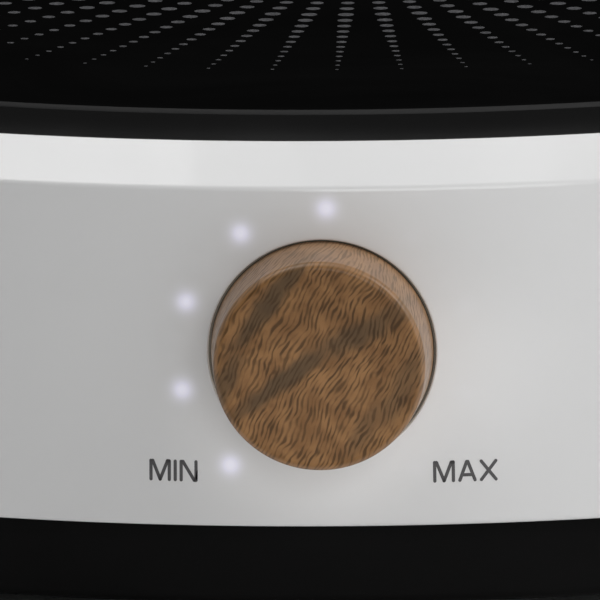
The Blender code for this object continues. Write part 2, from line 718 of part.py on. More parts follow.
def make_fan():
    black = finish("fan_plastic", (0.025, 0.025, 0.027), 0.5)
    steel = finish("fan_steel", (0.60, 0.60, 0.61), 0.25, 1.0)
    half = FAN_SIZE / 2
    middle = (FAN_X, FAN_Y, 0)
    fan_top = FAN_BASE_Z + FAN_HEIGHT
    frame = block("fan_frame", (-half, -half, FAN_BASE_Z), (half, half, fan_top),
                  black, location=middle)
    cut(frame, rod("fan_mouth", FAN_BORE, 0, 2 * fan_top, facets=MID_FACETS, location=middle))
    reach, thin, spoke_top = half - 0.001, 0.0025, FAN_BASE_Z + 0.0025
    join(frame,
         block("fan_spoke_x", (-reach, -thin, FAN_BASE_Z), (reach, thin, spoke_top),
               location=middle),
         block("fan_spoke_y", (-thin, -reach, FAN_BASE_Z), (thin, reach, spoke_top),
               location=middle),
         rod("fan_hub_plate", FAN_HUB_RADIUS, FAN_BASE_Z, spoke_top + 0.0004, location=middle))
    bore = FAN_SHAFT_RADIUS + GAP
    cut(frame, rod("fan_bearing", bore, 0, fan_top, location=middle))

    hub_low, hub_high, hub_edge = spoke_top + 0.0010, fan_top - 0.0020, 0.0010
    bore_top = hub_high - 0.0040
    rotor = turned("fan_rotor", [
        (0, hub_high),
        (FAN_HUB_RADIUS - hub_edge, hub_high),
        (FAN_HUB_RADIUS, hub_high - hub_edge),
        (FAN_HUB_RADIUS, hub_low),
        (bore, hub_low),
        (bore, bore_top),
        (0, bore_top),
    ], black, MID_FACETS, ring=False, location=middle)
    blade_half, blade_thin, clearance = 0.0075, 0.0007, 0.0015
    lift = Matrix.Translation((0, 0, (hub_low + hub_high) / 2))
    pitch = Matrix.Rotation(math.radians(52), 4, "X")
    blades = []
    for blade in range(FAN_BLADES):
        turn = Matrix.Rotation(2 * math.pi * blade / FAN_BLADES, 4, "Z")
        blades.append(((FAN_HUB_RADIUS - clearance, -blade_thin, -blade_half),
                       (FAN_BORE - clearance, blade_thin, blade_half), turn @ lift @ pitch))
    join(rotor, blocks("fan_blades", blades, location=middle))
    rod("fan_shaft", FAN_SHAFT_RADIUS, FAN_BASE_Z + 0.0004, bore_top - GAP, steel,
        SMALL_FACETS, location=middle)


# ---------------------------------------------------------------- dial and level lamps

def make_control_board():
    laminate = finish("dark_laminate", (0.02, 0.06, 0.04), 0.45)
    wide, tall = CONTROL_BOARD_SIZE
    board = block("control_board",
                  (-wide / 2, -CONTROL_BOARD_OUT, DIAL_Z - tall / 2),
                  (wide / 2, BOARD_THICKNESS - CONTROL_BOARD_OUT, DIAL_Z + tall / 2), laminate)
    screw_hole = CONTROL_POST_RADIUS / 2
    for number, side in enumerate((-1, 1), 1):
        cut(board, rod(f"post_screw_hole_{number}", screw_hole, 0.1300, 0.1500,
                       location=(side * CONTROL_POST_X, 0, DIAL_Z), rotation=FACING_FRONT))

    lens = finish("lamp_white", (0.85, 0.86, 0.92), 0.3)
    face = CONTROL_BOARD_OUT + GAP
    half_x, half_z, depth = LAMP_HALF_SIZE
    x, z = LAMP_CENTRE
    for number in range(LAMP_COUNT):
        angle = LAMP_MIDDLE + LAMP_STEP * ((LAMP_COUNT - 1) / 2 - number)
        spot = (x + LAMP_CIRCLE * math.cos(angle), 0, z + LAMP_CIRCLE * math.sin(angle))
        block(f"led_{number + 1}", (-half_x, -half_z, face), (half_x, half_z, face + depth),
              lens, location=spot, rotation=FACING_FRONT)

    on_axis = {"location": (0, 0, DIAL_Z), "rotation": FACING_FRONT}
    frosted = finish("frosted_diffuser", (0.85, 0.85, 0.85), 0.6)
    tube("light_guide", *GUIDE_RADII, face + 0.0013, face + 0.0033, frosted, MID_FACETS,
         **on_axis)
    shade = finish("black_collar_plastic", (0.015, 0.015, 0.015), 0.5)
    tube("light_collar", *COLLAR_RADII, face + 0.0006, COLLAR_END_OUT, shade, MID_FACETS,
         **on_axis)


def make_dial_switch():
    """Rotary control with a push action: body, bushing, wiper rotor and shaft."""
    zinc = finish("zinc_die_cast", (0.52, 0.52, 0.54), 0.4, 1.0)
    nylon = finish("black_nylon", (0.02, 0.02, 0.022), 0.5)
    amber = finish("amber_nylon", (0.45, 0.28, 0.08), 0.5)
    on_axis = {"location": (0, 0, DIAL_Z), "rotation": FACING_FRONT}
    half = SWITCH_HALF
    back = CONTROL_BOARD_OUT + GAP
    front = back + SWITCH_DEPTH
    pocket_floor, pocket_radius = back + 0.0008, half - 0.0010

    body = block("dial_switch_body", (-half, -half, back), (half, half, front), nylon, **on_axis)
    cut(body, rod("dial_switch_pocket", pocket_radius, pocket_floor, front + 0.002,
                  facets=MID_FACETS, **on_axis))

    plate_low, barrel_radius = front + GAP, 0.0042
    plate = block("dial_switch_bushing", (-half, -half, plate_low),
                  (half, half, plate_low + 0.0008), zinc, **on_axis)
    join(plate, rod("bushing_barrel", barrel_radius, plate_low + 0.0002, BUSHING_END_OUT,
                    facets=MID_FACETS, **on_axis))
    cut(plate, rod("bushing_bore", BUSHING_BORE, front - 0.002, KNOB_FACE_OUT,
                   facets=MID_FACETS, **on_axis))

    spigot = 0.0017
    rotor_back = pocket_floor + 0.0021
    rotor_front = rotor_back + 0.0015
    tube("dial_rotor", spigot + GAP, pocket_radius - 0.0004, rotor_back, rotor_front, amber,
         MID_FACETS, **on_axis)

    shoulder = rotor_front + PRESS_TRAVEL + GAP
    spigot_end = pocket_floor + PRESS_TRAVEL + GAP
    shaft_end, shaft_edge = SHAFT_END_OUT, 0.0005
    turned("dial_shaft", [
        (0, spigot_end),
        (spigot, spigot_end),
        (spigot, shoulder),
        (SHAFT_RADIUS, shoulder),
        (SHAFT_RADIUS, shaft_end - shaft_edge),
        (SHAFT_RADIUS - shaft_edge, shaft_end),
        (0, shaft_end),
    ], zinc, SMALL_FACETS, ring=False, **on_axis)


def make_knob():
    wood = finish("wood_print", (0.17, 0.09, 0.04), 0.22)
    nylon = finish("white_nylon", (0.75, 0.75, 0.72), 0.5)
    steel = finish("clip_steel", (0.55, 0.55, 0.56), 0.3, 1.0)
    on_axis = {"location": (0, 0, DIAL_Z), "rotation": FACING_FRONT}
    centre = (KNOB_FRONT_RADIUS - KNOB_ROUND, KNOB_FACE_OUT - KNOB_ROUND)
    face_round = arc(KNOB_ROUND, 0, math.pi / 2, 4, centre)
    ceiling = KNOB_FACE_OUT - KNOB_FACE_THICKNESS
    bore = KNOB_FRONT_RADIUS - KNOB_WALL
    turned("knob_cap", [
        (0, ceiling),
        (bore, ceiling),
        (bore, KNOB_SKIRT_OUT),
        (KNOB_SKIRT_RADIUS, KNOB_SKIRT_OUT),
        *face_round,
        (0, KNOB_FACE_OUT),
    ], wood, DIAL_FACETS, ring=False, **on_axis)

    socket = SHAFT_RADIUS + GAP
    plate_top = ceiling - GAP
    plate_low = plate_top - 0.0012
    turned("knob_hub", [
        (socket, plate_top),
        (bore - GAP, plate_top),
        (bore - GAP, plate_low),
        (HUB_RADIUS, plate_low),
        (HUB_RADIUS, HUB_END_OUT),
        (socket, HUB_END_OUT),
    ], nylon, MID_FACETS, **on_axis)

    open_from, open_to = math.radians(30), math.radians(330)
    clip_inner = HUB_RADIUS + GAP
    clip_outer = clip_inner + 0.0006
    outline = (arc(clip_outer, open_from, open_to, 20)
               + arc(clip_inner, open_to, open_from, 20))
    prism("knob_clip", outline, 0.1535, 0.1562, steel, **on_axis)


# ---------------------------------------------------------------- cord gland at the back

def make_gland():
    rubber = finish("gland_rubber", (0.02, 0.02, 0.021), 0.6)
    nylon = finish("gland_nut_nylon", (0.03, 0.03, 0.032), 0.5)
    on_axis = {"location": (0, 0, GLAND_Z), "rotation": FACING_BACK}
    flange_out = WALL_FOOT_RADIUS + GAP
    turned("cord_gland", [
        (GLAND_BORE, GLAND_INNER_END),
        (GLAND_SLEEVE, GLAND_INNER_END),
        (GLAND_SLEEVE, flange_out),
        (GLAND_FLANGE, flange_out),
        (GLAND_FLANGE, flange_out + 0.0020),
        (0.0082, flange_out + 0.0024),
        (0.0066, GLAND_END_OUT - 0.0006),
        (0.0060, GLAND_END_OUT),
        (GLAND_BORE, GLAND_END_OUT),
    ], rubber, MID_FACETS, **on_axis)

    hexagon = arc(GLAND_NUT_RADIUS, 0, 2 * math.pi * 5 / 6, 5)
    nut = prism("gland_nut", hexagon, *GLAND_NUT, nylon, **on_axis)
    cut(nut, rod("nut_thread", GLAND_SLEEVE + GAP, 0.1300, 0.1600, facets=MID_FACETS, **on_axis))


# ---------------------------------------------------------------- the whole cooktop

def main():
    for old in list(bpy.data.objects):
        bpy.data.objects.remove(old)
    make_glass()
    make_bezel()
    make_housing()
    make_base_cover()
    make_feet_and_screws()
    make_coil_stack()
    make_thermistor()
    make_main_board()
    make_heat_sink()
    make_power_parts()
    make_capacitors()
    make_choke()
    make_fuse_and_buzzer()
    make_terminal_block()
    make_fan()
    make_control_board()
    make_dial_switch()
    make_knob()
    make_gland()


main()
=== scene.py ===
"""The looks of a round portable induction cooktop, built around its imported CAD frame.

Metres, +Z up, the dial faces -Y. The frame gives every place that a piece is fitted to.
"""

import json
import math

import bmesh
import bpy
from mathutils import Matrix, Vector


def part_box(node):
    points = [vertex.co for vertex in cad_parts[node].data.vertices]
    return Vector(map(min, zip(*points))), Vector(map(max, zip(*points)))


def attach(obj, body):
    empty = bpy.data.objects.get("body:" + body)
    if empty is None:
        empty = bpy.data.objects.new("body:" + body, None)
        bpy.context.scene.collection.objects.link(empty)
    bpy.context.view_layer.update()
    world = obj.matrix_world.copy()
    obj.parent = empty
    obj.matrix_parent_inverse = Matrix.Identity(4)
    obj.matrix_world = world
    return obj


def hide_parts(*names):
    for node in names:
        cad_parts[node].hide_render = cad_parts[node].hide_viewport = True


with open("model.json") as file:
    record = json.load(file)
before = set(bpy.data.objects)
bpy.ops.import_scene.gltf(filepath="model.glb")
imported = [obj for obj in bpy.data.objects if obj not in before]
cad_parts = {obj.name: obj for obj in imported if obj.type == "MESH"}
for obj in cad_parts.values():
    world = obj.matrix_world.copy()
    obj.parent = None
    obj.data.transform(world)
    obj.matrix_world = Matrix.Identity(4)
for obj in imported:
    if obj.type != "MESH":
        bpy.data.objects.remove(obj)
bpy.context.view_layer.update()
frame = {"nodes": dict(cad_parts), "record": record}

MM = 0.001


# ---------- places read from the frame

def radius_of(node):
    """Outer radius of a piece that is turned about the body's axis."""
    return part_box(node)[1].x


GLASS_RADIUS = radius_of("glass_plate")
GLASS_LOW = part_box("glass_plate")[0].z
TOP_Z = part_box("glass_plate")[1].z
BEZEL_RADIUS = radius_of("bezel_ring")
BEZEL_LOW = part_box("bezel_ring")[0].z
HOUSING_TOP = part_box("housing_shell")[1].z
WALL_FOOT_RADIUS = radius_of("housing_shell")
WALL_FOOT_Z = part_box("housing_shell")[0].z
BASE_RADIUS = radius_of("base_cover")
BASE_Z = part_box("base_cover")[0].z
BASE_RIM_Z = 0.0198

KNOB_LOW, KNOB_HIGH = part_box("knob_cap")
DIAL_Z = (KNOB_LOW.z + KNOB_HIGH.z) / 2
KNOB_SKIRT_RADIUS = KNOB_HIGH.x
KNOB_FACE_OUT = -KNOB_LOW.y
KNOB_SKIRT_OUT = -KNOB_HIGH.y
GLAND_LOW, GLAND_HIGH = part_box("cord_gland")
GLAND_Z = (GLAND_LOW.z + GLAND_HIGH.z) / 2
LAMPS = [(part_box(f"led_{number}")[0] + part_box(f"led_{number}")[1]) / 2 for number in range(1, 10)]
LIT_LAMPS = 5

GAP = 0.3 * MM
GLASS_BEVEL = 0.6 * MM
DOT_HEIGHT = 0.02 * MM
SHOULDER_RADIUS = 149.8 * MM
SHOULDER_Z = 65.3 * MM
SHOULDER_ROUND = 1.3 * MM
# A place on the slope, outwards of the seat, and one on the wall: they aim the rounded corner.
SHOULDER_REACH = 1.5 * MM
UPPER_WALL_Z = 63 * MM
WALL_THICKNESS = 2.6 * MM
SHELF_RADIUS = 139.5 * MM
SHELF_Z = 65.4 * MM
SHELF_TOP = BEZEL_LOW - GAP
DIAL_HOLE_RADIUS = 15.88 * MM
GLAND_HOLE_RADIUS = 7.5 * MM

# Places of pieces turned about the dial's axis and the gland's axis.
ON_DIAL = Matrix.Translation((0, 0, DIAL_Z)) @ Matrix.Rotation(math.pi / 2, 4, "X")
ON_GLAND = Matrix.Translation((0, 0, GLAND_Z)) @ Matrix.Rotation(-math.pi / 2, 4, "X")


# ---------- node helpers

def grey(level):
    return (level,) * 3


class Look:
    """A Principled material, with short ways to add the nodes that feed it."""

    def __init__(self, name, colour=grey(0.5), roughness=0.5, metallic=0.0, **sockets):
        self.material = bpy.data.materials.new(name)
        self.material.use_nodes = True
        self.nodes = self.material.node_tree.nodes
        self.shader = self.nodes["Principled BSDF"]
        self.set("Base Color", (*colour, 1.0))
        self.set("Roughness", roughness)
        self.set("Metallic", metallic)
        for socket, value in sockets.items():
            self.set(socket.replace("_", " "), value)
        self.place = self.add("ShaderNodeTexCoord").outputs["Object"]

    def set(self, socket, value):
        """Set a shader socket to a value, or link it to another node's output."""
        self.join(value, self.shader.inputs[socket])

    def join(self, value, socket):
        if isinstance(value, bpy.types.NodeSocket):
            self.material.node_tree.links.new(value, socket)
        else:
            socket.default_value = value

    def add(self, kind, inputs=(), **settings):
        node = self.nodes.new(kind)
        for name, value in settings.items():
            setattr(node, name, value)
        for socket, value in dict(inputs).items():
            self.join(value, node.inputs[socket])
        return node

    def math(self, operation, first, second=0.0, third=0.0):
        node = self.add("ShaderNodeMath", {0: first, 1: second, 2: third}, operation=operation)
        return node.outputs[0]

    def vector(self, operation, first, second=(0, 0, 0)):
        node = self.add("ShaderNodeVectorMath", {0: first, 1: second}, operation=operation)
        return node.outputs["Value" if operation == "LENGTH" else "Vector"]

    def stretch(self, scale, turn=(0, 0, 0), place=None):
        node = self.add("ShaderNodeMapping", {
            "Vector": place or self.place, "Scale": scale, "Rotation": turn})
        return node.outputs["Vector"]

    def noise(self, scale, detail=2.0, roughness=0.5, place=None, distortion=0.0, colour=False):
        node = self.add("ShaderNodeTexNoise", {
            "Vector": place or self.place, "Scale": scale, "Detail": detail,
            "Roughness": roughness, "Distortion": distortion})
        return node.outputs["Color" if colour else "Fac"]

    def cells(self, scale, feature="F1", randomness=1.0):
        node = self.add("ShaderNodeTexVoronoi", {
            "Vector": self.place, "Scale": scale, "Randomness": randomness}, feature=feature)
        return node.outputs["Distance"]

    def span(self, value, low, high, to_low=0.0, to_high=1.0):
        """Map a value smoothly from one range to another, clamped."""
        node = self.add("ShaderNodeMapRange", {
            "Value": value, "From Min": low, "From Max": high,
            "To Min": to_low, "To Max": to_high},
            interpolation_type="SMOOTHSTEP")
        return node.outputs["Result"]

    def blend(self, share, first, second):
        """Mix two colours, each an (r, g, b) or another node's output."""
        first = (*first, 1.0) if isinstance(first, tuple) else first
        second = (*second, 1.0) if isinstance(second, tuple) else second
        node = self.add("ShaderNodeMix", {0: share, 6: first, 7: second}, data_type="RGBA")
        return node.outputs[2]

    def tint(self, share, first, second):
        """Set the base colour to a mix of two."""
        self.set("Base Color", self.blend(share, first, second))

    def roughen(self, value, low, high):
        """Let the roughness follow a noise between two values."""
        self.set("Roughness", self.span(value, 0.3, 0.7, low, high))

    def bump(self, height, strength=0.3, distance=0.1 * MM):
        node = self.add("ShaderNodeBump", {"Height": height, "Strength": strength,
                                           "Distance": distance})
        self.set("Normal", node.outputs["Normal"])


# ---------- materials

def moulded(name, colour, roughness=0.45, grain=2500.0, strength=0.12, **sockets):
    """Injection-moulded plastic or rubber: fine texture and slightly uneven tone."""
    look = Look(name, colour, roughness, **sockets)
    fine = look.noise(grain, 3.0)
    broad = look.noise(60.0, 3.0)
    darker = tuple(0.85 * channel for channel in colour)
    look.tint(look.span(broad, 0.35, 0.65), darker, colour)
    look.roughen(fine, roughness - 0.06, roughness + 0.06)
    look.bump(fine, strength, 0.02 * MM)
    return look.material


def metal(name, colour, roughness=0.3, scale=(200, 200, 4000)):
    """Drawn or extruded metal: fine lines along one direction and a light tarnish."""
    look = Look(name, colour, roughness, 1.0)
    lines = look.noise(1.0, 4.0, 0.6, place=look.stretch(scale))
    tarnish = look.noise(90.0, 4.0)
    dull = tuple(0.72 * channel for channel in colour)
    look.tint(look.span(tarnish, 0.4, 0.75), colour, dull)
    look.roughen(lines, roughness - 0.08, roughness + 0.12)
    look.bump(lines, 0.15, 0.03 * MM)
    return look.material


def grainy(name, colour, second, roughness=0.6, scale=900.0):
    """Pressed or fired material with visible grains of a second colour."""
    look = Look(name, colour, roughness)
    grain = look.cells(scale)
    patch = look.noise(scale / 8, 4.0)
    look.tint(look.span(grain, 0.25, 0.6), colour, second)
    look.roughen(patch, roughness - 0.1, roughness + 0.1)
    look.bump(grain, 0.2, 0.05 * MM)
    return look.material


def laminate(name, colour):
    """Circuit board: solder mask over a faint net of copper tracks."""
    look = Look(name, colour, 0.4, Coat_Weight=0.3)
    squares = look.cells(220.0, randomness=0.35, feature="DISTANCE_TO_EDGE")
    track = look.span(squares, 0.02, 0.05)
    lighter = tuple(min(1.0, 1.7 * channel + 0.01) for channel in colour)
    look.tint(track, lighter, colour)
    look.roughen(look.noise(300.0, 3.0), 0.3, 0.5)
    look.bump(track, 0.2, 0.04 * MM)
    return look.material


def stranded_copper(name, colour):
    """Litz wire: twisted enamelled strands seen as slanting fine lines."""
    look = Look(name, colour, 0.35, 1.0)
    strands = look.noise(1.0, 3.0, place=look.stretch((900, 900, 2600), (0.6, 0.4, 0.0)))
    dark = tuple(0.45 * channel for channel in colour)
    look.tint(look.span(strands, 0.35, 0.6), dark, colour)
    look.bump(strands, 0.5, 0.1 * MM)
    return look.material


def black_glass():
    """Polished black glass-ceramic with a trace of handling marks."""
    look = Look("black_glass", grey(0.006), 0.05, IOR=1.5)
    smear = look.noise(18.0, 5.0, 0.6, distortion=0.8)
    parts = look.add("ShaderNodeSeparateXYZ", {0: look.place}).outputs
    flat = look.add("ShaderNodeCombineXYZ", {0: parts["X"], 1: parts["Y"]}).outputs[0]
    ground = look.span(look.vector("LENGTH", flat), GLASS_RADIUS - 1.1 * GLASS_BEVEL,
                       GLASS_RADIUS - 0.9 * GLASS_BEVEL)
    look.set("Roughness", look.math("MAXIMUM", look.span(smear, 0.35, 0.75, 0.035, 0.10),
                                    look.math("MULTIPLY", ground, 0.70)))
    look.tint(look.span(smear, 0.4, 0.8), grey(0.0035), grey(0.0055))
    return look.material


def dot_enamel():
    """Grey enamel dots fired on the glass: slightly rough and uneven."""
    look = Look("dot_enamel", (0.10, 0.10, 0.105), 0.45)
    speck = look.noise(2600.0, 2.0)
    look.tint(look.span(speck, 0.3, 0.7), (0.062, 0.062, 0.066), (0.105, 0.105, 0.11))
    look.roughen(speck, 0.35, 0.55)
    return look.material


def bezel_gloss():
    """High-gloss black plastic with a faint orange-peel ripple."""
    look = Look("bezel_gloss", grey(0.009), 0.22, IOR=1.5)
    ripple = look.noise(140.0, 2.0)
    look.roughen(look.noise(30.0, 4.0), 0.19, 0.26)
    look.bump(ripple, 0.04, 0.05 * MM)
    return look.material


GLOW_RADIUS = 1.0 * MM
GLOW_SHAPE = (1 / GLOW_RADIUS, 0.5 / GLOW_RADIUS, 1 / GLOW_RADIUS)
# Share of a lit lamp's glow that is painted on each unlit lamp.
UNLIT_PAINTED_SHARE = 0.04
# Strength of the painted glow on the wall of the dial's hole.
BORE_PAINTED_GLOW = 0.16
# Strength of the painted glow on the collar's foam.
COLLAR_PAINTED_GLOW = 0.055


def lamp_glow(look):
    """Strength of the level lamps' light as it spreads inside the white wall."""
    total = 0.0
    for number, lamp in enumerate(LAMPS):
        centre = (lamp.x, -math.sqrt(WALL_FOOT_RADIUS ** 2 - lamp.x ** 2), lamp.z)
        away = look.vector("SUBTRACT", look.place, centre)
        spread = look.vector("LENGTH", look.vector("MULTIPLY", away, GLOW_SHAPE))
        fall = look.math("MULTIPLY", look.math("POWER", spread, 2.0), -0.5)
        # Painted light: the unlit lamps also get a faint glow.
        strength = 1.0 if number < LIT_LAMPS else UNLIT_PAINTED_SHARE
        total = look.math("MULTIPLY_ADD", look.math("EXPONENT", fall), strength, total)
    return total


def white_gloss():
    """High-gloss white plastic of the housing, with the lamps shining through it and a painted glow
    on the wall of the dial's hole.
    """
    look = Look("white_gloss", grey(0.80), 0.22, IOR=1.5, Coat_Weight=0.4,
                Coat_Roughness=0.05)
    tone = look.noise(9.0, 4.0)
    look.tint(look.span(tone, 0.3, 0.7), grey(0.785), grey(0.81))
    look.roughen(look.noise(45.0, 4.0), 0.19, 0.27)
    look.bump(look.noise(160.0, 2.0), 0.02, 0.05 * MM)
    # Painted light: the bare wall of the dial's hole gets a faint warm glow, which lightens the dark
    # gap round the knob.
    off_axis = look.vector("LENGTH", look.vector("MULTIPLY", look.vector(
        "SUBTRACT", look.place, (0, 0, DIAL_Z)), (1, 0, 1)))
    front = look.math("LESS_THAN", look.add(
        "ShaderNodeSeparateXYZ", {0: look.place}).outputs["Y"], -0.1)
    bore = look.math("MULTIPLY", front, look.span(
        off_axis, DIAL_HOLE_RADIUS + 0.02 * MM, DIAL_HOLE_RADIUS + 0.06 * MM, 1.0, 0.0))
    glow = look.math("MULTIPLY", lamp_glow(look), 0.38)
    look.set("Emission Color", look.blend(bore, (0.72, 0.70, 1.0), (1.0, 0.93, 0.80)))
    look.set("Emission Strength", look.math("MULTIPLY_ADD", bore, BORE_PAINTED_GLOW, glow))
    return look.material


def legend_ink(name, colour):
    """Printed lettering: flat grey ink with a faint grain."""
    look = Look(name, colour, 0.45)
    grain = look.noise(3000.0, 3.0)
    lighter = tuple(1.25 * channel for channel in colour)
    look.tint(look.span(grain, 0.3, 0.7), colour, lighter)
    look.roughen(grain, 0.4, 0.55)
    return look.material


# Broad smoky streaks of the print: middle (x, z), slant in degrees, half length, half width
# (all in millimetres from the dial's axis) and strength.
STREAKS = (
    (-6.7, 9.3, 52, 11.5, 1.9, 1.0),
    (-5.0, -1.8, 36, 11.0, 1.8, 1.0),
    (5.4, 4.6, 24, 7.5, 2.3, 0.9),
    (11.4, -3.0, 60, 8.0, 2.2, 0.6),
    (-13.4, -2.4, 62, 6.5, 2.0, 0.85),
    (6.5, -8.4, 58, 6.5, 1.8, 0.5),
    (10.5, 7.5, 35, 5.5, 2.0, 0.6),
)


ROW_PITCH = 0.62 * MM


def wood_print():
    """Wood-grain print under clear lacquer: short wavy dark flecks and smoky streaks."""
    look = Look("wood_print", (0.17, 0.09, 0.04), 0.4, Specular_IOR_Level=0.08,
                Coat_Weight=0.5, Coat_Roughness=0.24, Coat_IOR=1.38)
    # The print is laid on the face and drawn over the side, where it stretches.
    parts = look.add("ShaderNodeSeparateXYZ", {0: look.place}).outputs
    across = look.add("ShaderNodeCombineXYZ", {0: parts["X"], 1: look.math(
        "SUBTRACT", parts["Z"], DIAL_Z)}).outputs[0]
    depth = look.math("MAXIMUM", look.math("ADD", parts["Y"], KNOB_FACE_OUT), 0.0)
    reach = look.math("MAXIMUM", look.vector("LENGTH", across), 1 * MM)
    grow = look.math("ADD", look.math("DIVIDE", look.math("MULTIPLY", depth, 0.45), reach), 1.0)
    laid = look.add("ShaderNodeVectorMath", {0: across, 3: grow}, operation="SCALE").outputs[0]

    def wander(place, scale, reach_x, reach_y, detail=1.0):
        """Shift a place by noise, so that straight things become wavy."""
        drift = look.vector("SUBTRACT", look.noise(scale, detail, place=place, colour=True),
                            grey(0.5))
        return look.vector("ADD", place, look.vector("MULTIPLY", drift, (reach_x, reach_y, 0)))

    # Turn the print so that the grain runs along its first axis.
    bent = wander(laid, 110.0, 3.4 * MM, 3.4 * MM)
    grain = look.stretch((1, 1, 1), (0, 0, math.radians(-63)), place=bent)

    # Flecks: close wavy rows that noise breaks up into short dashes.
    rippled = wander(grain, 420.0, 0.0, 0.9 * MM)
    across_grain = look.add("ShaderNodeSeparateXYZ", {0: rippled}).outputs["Y"]
    rows = look.math("SINE", look.math("MULTIPLY", across_grain, 2 * math.pi / ROW_PITCH))
    breaks = look.noise(1.0, 1.0, 0.5, place=look.stretch((430, 1500, 1), place=rippled))
    flecks = look.span(look.math("MULTIPLY_ADD", rows, 0.13, breaks), 0.42, 0.72)
    crowd = look.span(look.noise(170.0, 2.0, place=grain), 0.3, 0.6, 0.65, 1.0)

    smoke = wander(laid, 330.0, 2.2 * MM, 2.2 * MM, 2.0)
    streaks = 0.0
    for x, z, slant, length, width, strength in STREAKS:
        local = look.add("ShaderNodeMapping", {
            "Vector": smoke,
            "Location": (x * MM, z * MM, 0),
            "Rotation": (0, 0, math.radians(slant)),
            "Scale": (length * MM, width * MM, 1)}, vector_type="TEXTURE").outputs[0]
        inside = look.span(look.vector("LENGTH", local), 0.35, 1.15, strength, 0.0)
        streaks = look.math("MAXIMUM", inside, streaks)

    warm = look.blend(look.span(look.noise(260.0, 3.0, place=laid), 0.3, 0.7),
                      (0.195, 0.092, 0.031), (0.312, 0.158, 0.060))
    banded = look.blend(look.math("MULTIPLY", streaks, 0.8), warm, (0.070, 0.046, 0.023))
    flecked = look.blend(look.math("MULTIPLY", look.math("MULTIPLY", flecks, crowd), 0.85),
                         banded, (0.052, 0.025, 0.006))
    # Painted highlight: the rounded edge and the side are tinted paler, standing in for the
    # reflection of the lights and the white wall on them.
    side = look.span(depth, 0.03 * MM, 0.4 * MM, 0.0, 0.26)
    look.tint(side, flecked, (0.50, 0.335, 0.22))
    look.set("Roughness", look.span(flecks, 0.0, 1.0, 0.36, 0.46))
    look.bump(flecks, 0.05, 0.04 * MM)
    return look.material


def painted_glow_collar_look():
    """Dark foam of the dial's collar, with a faint painted glow that lightens the gap round the knob.
    """
    look = Look("collar_foam_painted_glow", (0.05, 0.045, 0.04), 0.9)
    pores = look.cells(5200.0)
    look.tint(look.span(pores, 0.2, 0.6), (0.035, 0.03, 0.026), (0.075, 0.066, 0.055))
    look.bump(pores, 0.3, 0.03 * MM)
    # Painted light: the foam glows faintly so that the gap round the knob is not black.
    look.set("Emission Color", (1.0, 0.86, 0.70, 1.0))
    look.set("Emission Strength", COLLAR_PAINTED_GLOW)
    return look.material


SLOT_LOOKS = {
    "glass_black": black_glass(),
    "glass_print": dot_enamel(),
    "bezel_black": bezel_gloss(),
    "housing_white": white_gloss(),
    "legend_grey": legend_ink("legend_ink", (0.075, 0.073, 0.075)),
    "base_black": moulded("base_black", (0.0035, 0.0034, 0.0034), 0.5, 3000, 0.2,
                          Specular_IOR_Level=0.08),
    "seal_grey": moulded("seal_silicone", grey(0.25), 0.6, 900),
    "foot_rubber": moulded("foot_rubber", grey(0.02), 0.8, 1500, 0.3),
    "screw_steel": metal("screw_steel", (0.62, 0.62, 0.60), 0.3, (2500, 2500, 300)),
    "former_brown": grainy("former_phenolic", (0.10, 0.07, 0.05), (0.14, 0.10, 0.07)),
    "litz_copper": stranded_copper("litz_copper", (0.62, 0.28, 0.12)),
    "mica": grainy("mica", (0.40, 0.33, 0.23), (0.62, 0.55, 0.42), 0.35, 500),
    "ferrite": grainy("ferrite", (0.05, 0.05, 0.055), grey(0.09), 0.7, 1600),
    "sensor_ceramic": grainy("sensor_ceramic", (0.75, 0.74, 0.70), (0.80, 0.79, 0.76), 0.5, 2500),
    "spring_steel": metal("spring_steel", (0.55, 0.55, 0.57), 0.25),
    "board_green": laminate("board_green", (0.015, 0.11, 0.045)),
    "board_dark": laminate("board_dark", (0.012, 0.05, 0.035)),
    "aluminium": metal("extruded_aluminium", (0.78, 0.78, 0.79), 0.3, (120, 3000, 3000)),
    "epoxy_black": moulded("epoxy_black", grey(0.02), 0.5, 1800, 0.3),
    "film_blue": moulded("film_blue", (0.05, 0.12, 0.35), 0.35, 900),
    "film_yellow": moulded("film_yellow", (0.65, 0.45, 0.08), 0.35, 900),
    "enamel_copper": stranded_copper("enamel_copper", (0.58, 0.22, 0.08)),
    "fuse_ceramic": grainy("fuse_ceramic", (0.78, 0.78, 0.80), (0.85, 0.85, 0.86), 0.35, 2000),
    "plastic_black": moulded("inner_black", (0.022, 0.022, 0.024), 0.5, 2200, 0.2),
    "terminal_green": moulded("terminal_green", (0.08, 0.35, 0.16), 0.4, 1500),
    "lamp_white": moulded("lamp_lens", (0.85, 0.86, 0.92), 0.25, 2500, 0.05),
    "diffuser": moulded("frosted_guide", grey(0.85), 0.6, 3000, 0.4),
    "zinc": metal("die_cast_zinc", (0.52, 0.52, 0.54), 0.42, (1200, 1200, 1200)),
    "nylon_amber": moulded("nylon_amber", (0.45, 0.28, 0.08), 0.5, 1500),
    "nylon_white": moulded("nylon_white", (0.75, 0.75, 0.72), 0.5, 1500),
    "wood_print": wood_print(),
    "gland_black": moulded("gland_black", (0.02, 0.02, 0.021), 0.6, 1800, 0.3),
}


# ---------- mesh helpers

SHARP = math.radians(35)


def finish_piece(name, bm, slot, body, *replaced, flat=False):
    """Make an object of a bmesh, give it its finish, and let it ride on a body."""
    bmesh.ops.recalc_face_normals(bm, faces=bm.faces)
    mesh = bpy.data.meshes.new(name)
    bm.to_mesh(mesh)
    bm.free()
    if not flat:
        mesh.shade_smooth()
        mesh.set_sharp_from_angle(angle=SHARP)
    mesh.materials.append(SLOT_LOOKS[slot])
    piece = bpy.data.objects.new(name, mesh)
    bpy.context.scene.collection.objects.link(piece)
    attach(piece, body)
    if replaced:
        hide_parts(*replaced)
    return piece


